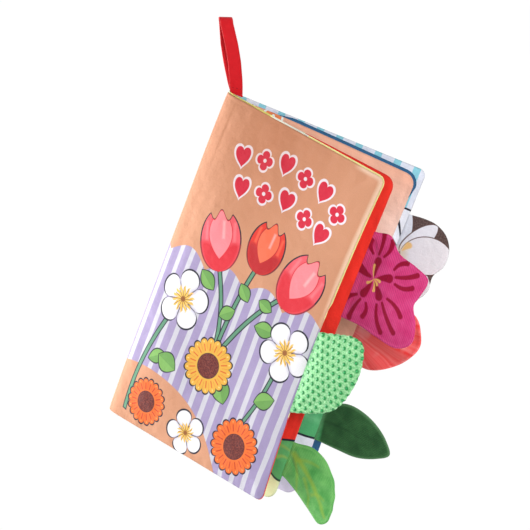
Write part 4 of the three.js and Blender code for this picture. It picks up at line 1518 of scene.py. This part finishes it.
def drift(high, behind):
    """How far a strand strays along the ribbon's width, read off a short table by height: the front strand
    bows out, and the back one lags."""
    share = np.clip(high / HOOK_HEIGHT, 0, 1)
    front, rear = np.interp(share, STRAY_AT, FRONT_STRAY), np.interp(share, STRAY_AT, REAR_STRAY)
    return front + (rear - front) * behind


def ribbon_grid():
    """The section carried along the path: its thickness along the path's normal, its width along the book,
    leaning and levelling out with height."""
    path = ribbon_path()
    slope = np.gradient(path, axis=0)
    slope /= np.linalg.norm(slope, axis=1)[:, None]
    across, proud = ribbon_section()
    depth = path[:, :1] + proud * -slope[:, 1:2]
    height = path[:, 1:2] + proud * slope[:, :1]
    tilt = (RIBBON_LEAN * np.clip(height / RIBBON_ROOT_HEIGHT, 0, 1)
            - RIBBON_LEVEL * (height / LOOP_LENGTH) ** 2)
    over_the_top = np.clip(path[:, :1] / (LOOP_HALF_WIDE - RIBBON_THICK) / 2 + 0.5, 0, 1)
    behind = np.where(path[:, 1:2] < HOOK_HEIGHT, (path[:, :1] > 0) * 1.0, over_the_top)
    strayed = across + drift(path[:, 1:2], behind)
    x = -height * math.sin(RIBBON_LEAN) + strayed * np.cos(tilt) + RIBBON_ROOT_X
    z = height * math.cos(RIBBON_LEAN) + strayed * np.sin(tilt) + LEAF_HEIGHT + RIBBON_ROOT_GAP
    run = along_itself(path)[:, None]
    return np.stack([x, depth, z], axis=-1), np.stack(np.broadcast_arrays(across[None], run), axis=-1)


# %% Weave and hang the ribbon
RIB_PITCH, RIBBON_THREAD_PITCH = 0.55, 0.35


def ribbon_finish():
    f = Print("ribbon_finish")
    ribs, threads = f.z.ripple(RIB_PITCH), f.x.ripple(RIBBON_THREAD_PITCH)
    f.colour = f.mix((abs(f.x) - 3.7).inside(0.4), dye(214, 20, 30), dye(226, 22, 34))
    f.shade(f.noise(6.0) * 0.6 + ribs * 0.1 + 0.2, 0.3)
    sewn = (abs(f.z - 4.6) - 0.35).most((f.x * 2.4).sin() * -1.0)
    f.over(sewn.inside(0.3) * 0.5, dye(150, 14, 26))
    return f.finished(f.bump(ribs * 0.7 + threads * 0.3, 0.12), roughness=0.6, sheen_weight=0.05,
                      sheen_roughness=0.3, specular_ior_level=0.2)


points, flat = ribbon_grid()
loop = shell_piece("ribbon_loop_piece", points, flat, ribbon_finish(), "ribbon", "hanging_loop")
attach(loop, "loop")
print("the ribbon is", round(float(flat[-1, 0, 1]), 1), "mm long")

# %% [markdown]
# # The stitching in the gutter
# A row of thread stitches goes through both sheets at the fold. Each stitch is a short bulge with a gap
# after it, so one tube whose thickness comes and goes along the fold makes the whole row.

# %% Sew the gutter
STITCH_PITCH, STITCH_HALF, ROUND_STITCH = 3.2, 0.3, 8


def thread_finish():
    f = Print("thread_finish", dye(240, 236, 226))
    twist = (f.x * 9.0).sin()
    f.shade(twist * 0.5 + 0.5, 0.2)
    return f.finished(f.bump(twist, 0.1), roughness=0.7)


z = np.linspace(4.0, LEAF_HEIGHT - 1.0, 900)[:, None]
swell = np.sqrt(np.clip(1 - np.abs((z / STITCH_PITCH % 1) * 2 - 1) ** 4, 0, 1)) * 0.85 + 0.12
turn = np.linspace(0, 2 * math.pi, ROUND_STITCH, endpoint=False)
ring = STITCH_HALF * swell
points = np.stack(np.broadcast_arrays(ring * np.cos(turn), ring * np.sin(turn), z), axis=-1)
flat = np.stack(np.broadcast_arrays(z, turn), axis=-1)
stitches = shell_piece("gutter_stitches_piece", points, flat, thread_finish(), "thread", "centre_stitching")
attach(stitches, "third_leaf")
print("stitches:", int((LEAF_HEIGHT - 5) / STITCH_PITCH))

# %% [markdown]
# # Light and ground
# The photograph is a bright packshot on white. Big soft lamps and an even sky keep the dyes as they are
# written. The ground is far below, and it is white to the camera while it still takes a soft shadow.

# %% Sky, which is plain to the book and white to the camera
SKY_STRENGTH = 0.45
sky = bpy.data.worlds.new("studio")
bpy.context.scene.world = sky
sky.use_nodes = True
sky.node_tree.nodes.clear()
link = sky.node_tree.links.new


def sky_node(kind, **values):
    made = sky.node_tree.nodes.new(kind)
    for socket, value in values.items():
        made.inputs[socket].default_value = value
    return made


plain = sky_node("ShaderNodeBackground", Color=(1.0, 1.0, 1.0, 1.0), Strength=SKY_STRENGTH)
white = sky_node("ShaderNodeBackground", Color=(1.0, 1.0, 1.0, 1.0), Strength=1.0)
rays, either_sky = sky_node("ShaderNodeLightPath"), sky_node("ShaderNodeMixShader")
seen = rays.outputs["Is Camera Ray"]
for other in ("Is Glossy Ray", "Is Transmission Ray"):
    either = sky_node("ShaderNodeMath")
    either.operation = "MAXIMUM"
    link(seen, either.inputs[0])
    link(rays.outputs[other], either.inputs[1])
    seen = either.outputs[0]
link(seen, either_sky.inputs[0])
link(plain.outputs[0], either_sky.inputs[1])
link(white.outputs[0], either_sky.inputs[2])
link(either_sky.outputs[0], sky_node("ShaderNodeOutputWorld").inputs[0])
print("the sky has", len(sky.node_tree.nodes), "nodes")


# %% Lamps and floor
def lamp(name, place, power, size):
    """A square soft lamp that faces the book."""
    made = bpy.data.objects.new(name, bpy.data.lights.new(name, "AREA"))
    made.data.energy, made.data.size = power, size
    made.location = (np.array(place) + fold_at) * MM
    toward = TARGET - np.array(place)
    made.rotation_euler = Vector(toward.tolist()).to_track_quat("-Z", "Y").to_euler()
    bpy.context.collection.objects.link(made)


lamp("key", (-930, 200, -220), 24.0, 0.6)
lamp("fill", (700, -1000, 700), 14.6, 0.8)
lamp("rim", (300, 1400, 700), 5.0, 1.0)
ground = Finish("floor_finish")
camera_ray = ground.node("ShaderNodeLightPath")
dull = ground.node("ShaderNodeBsdfDiffuse", None, {"Color": (0.9, 0.9, 0.9, 1.0)})
glow = ground.node("ShaderNodeEmission", None, {"Color": (1.0, 1.0, 1.0, 1.0), "Strength": 1.02})
ground.shown(ground.node("ShaderNodeMixShader", None, {0: camera_ray * 0.99, 1: dull, 2: glow}))
bpy.ops.mesh.primitive_grid_add(x_subdivisions=4, y_subdivisions=4, size=40.0, location=(0, 0, -1.3))
floor = bpy.context.object
floor.name = "floor"
floor.data.materials.append(ground.material)
floor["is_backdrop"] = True
print("three lamps, and a floor", round(floor.dimensions.x), "m wide")

# %% [markdown]
# View transform and size
# The picture uses the plain view transform.

# %% Measure and finish
bpy.context.scene.view_settings.view_transform = "Standard"
looks_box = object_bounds()
grown = [[round((after - before) / MM, 1) for before, after in zip(*corners)]
         for corners in zip(cad_box, looks_box)]
print("the looks differ from the CAD box by", grown, "mm")
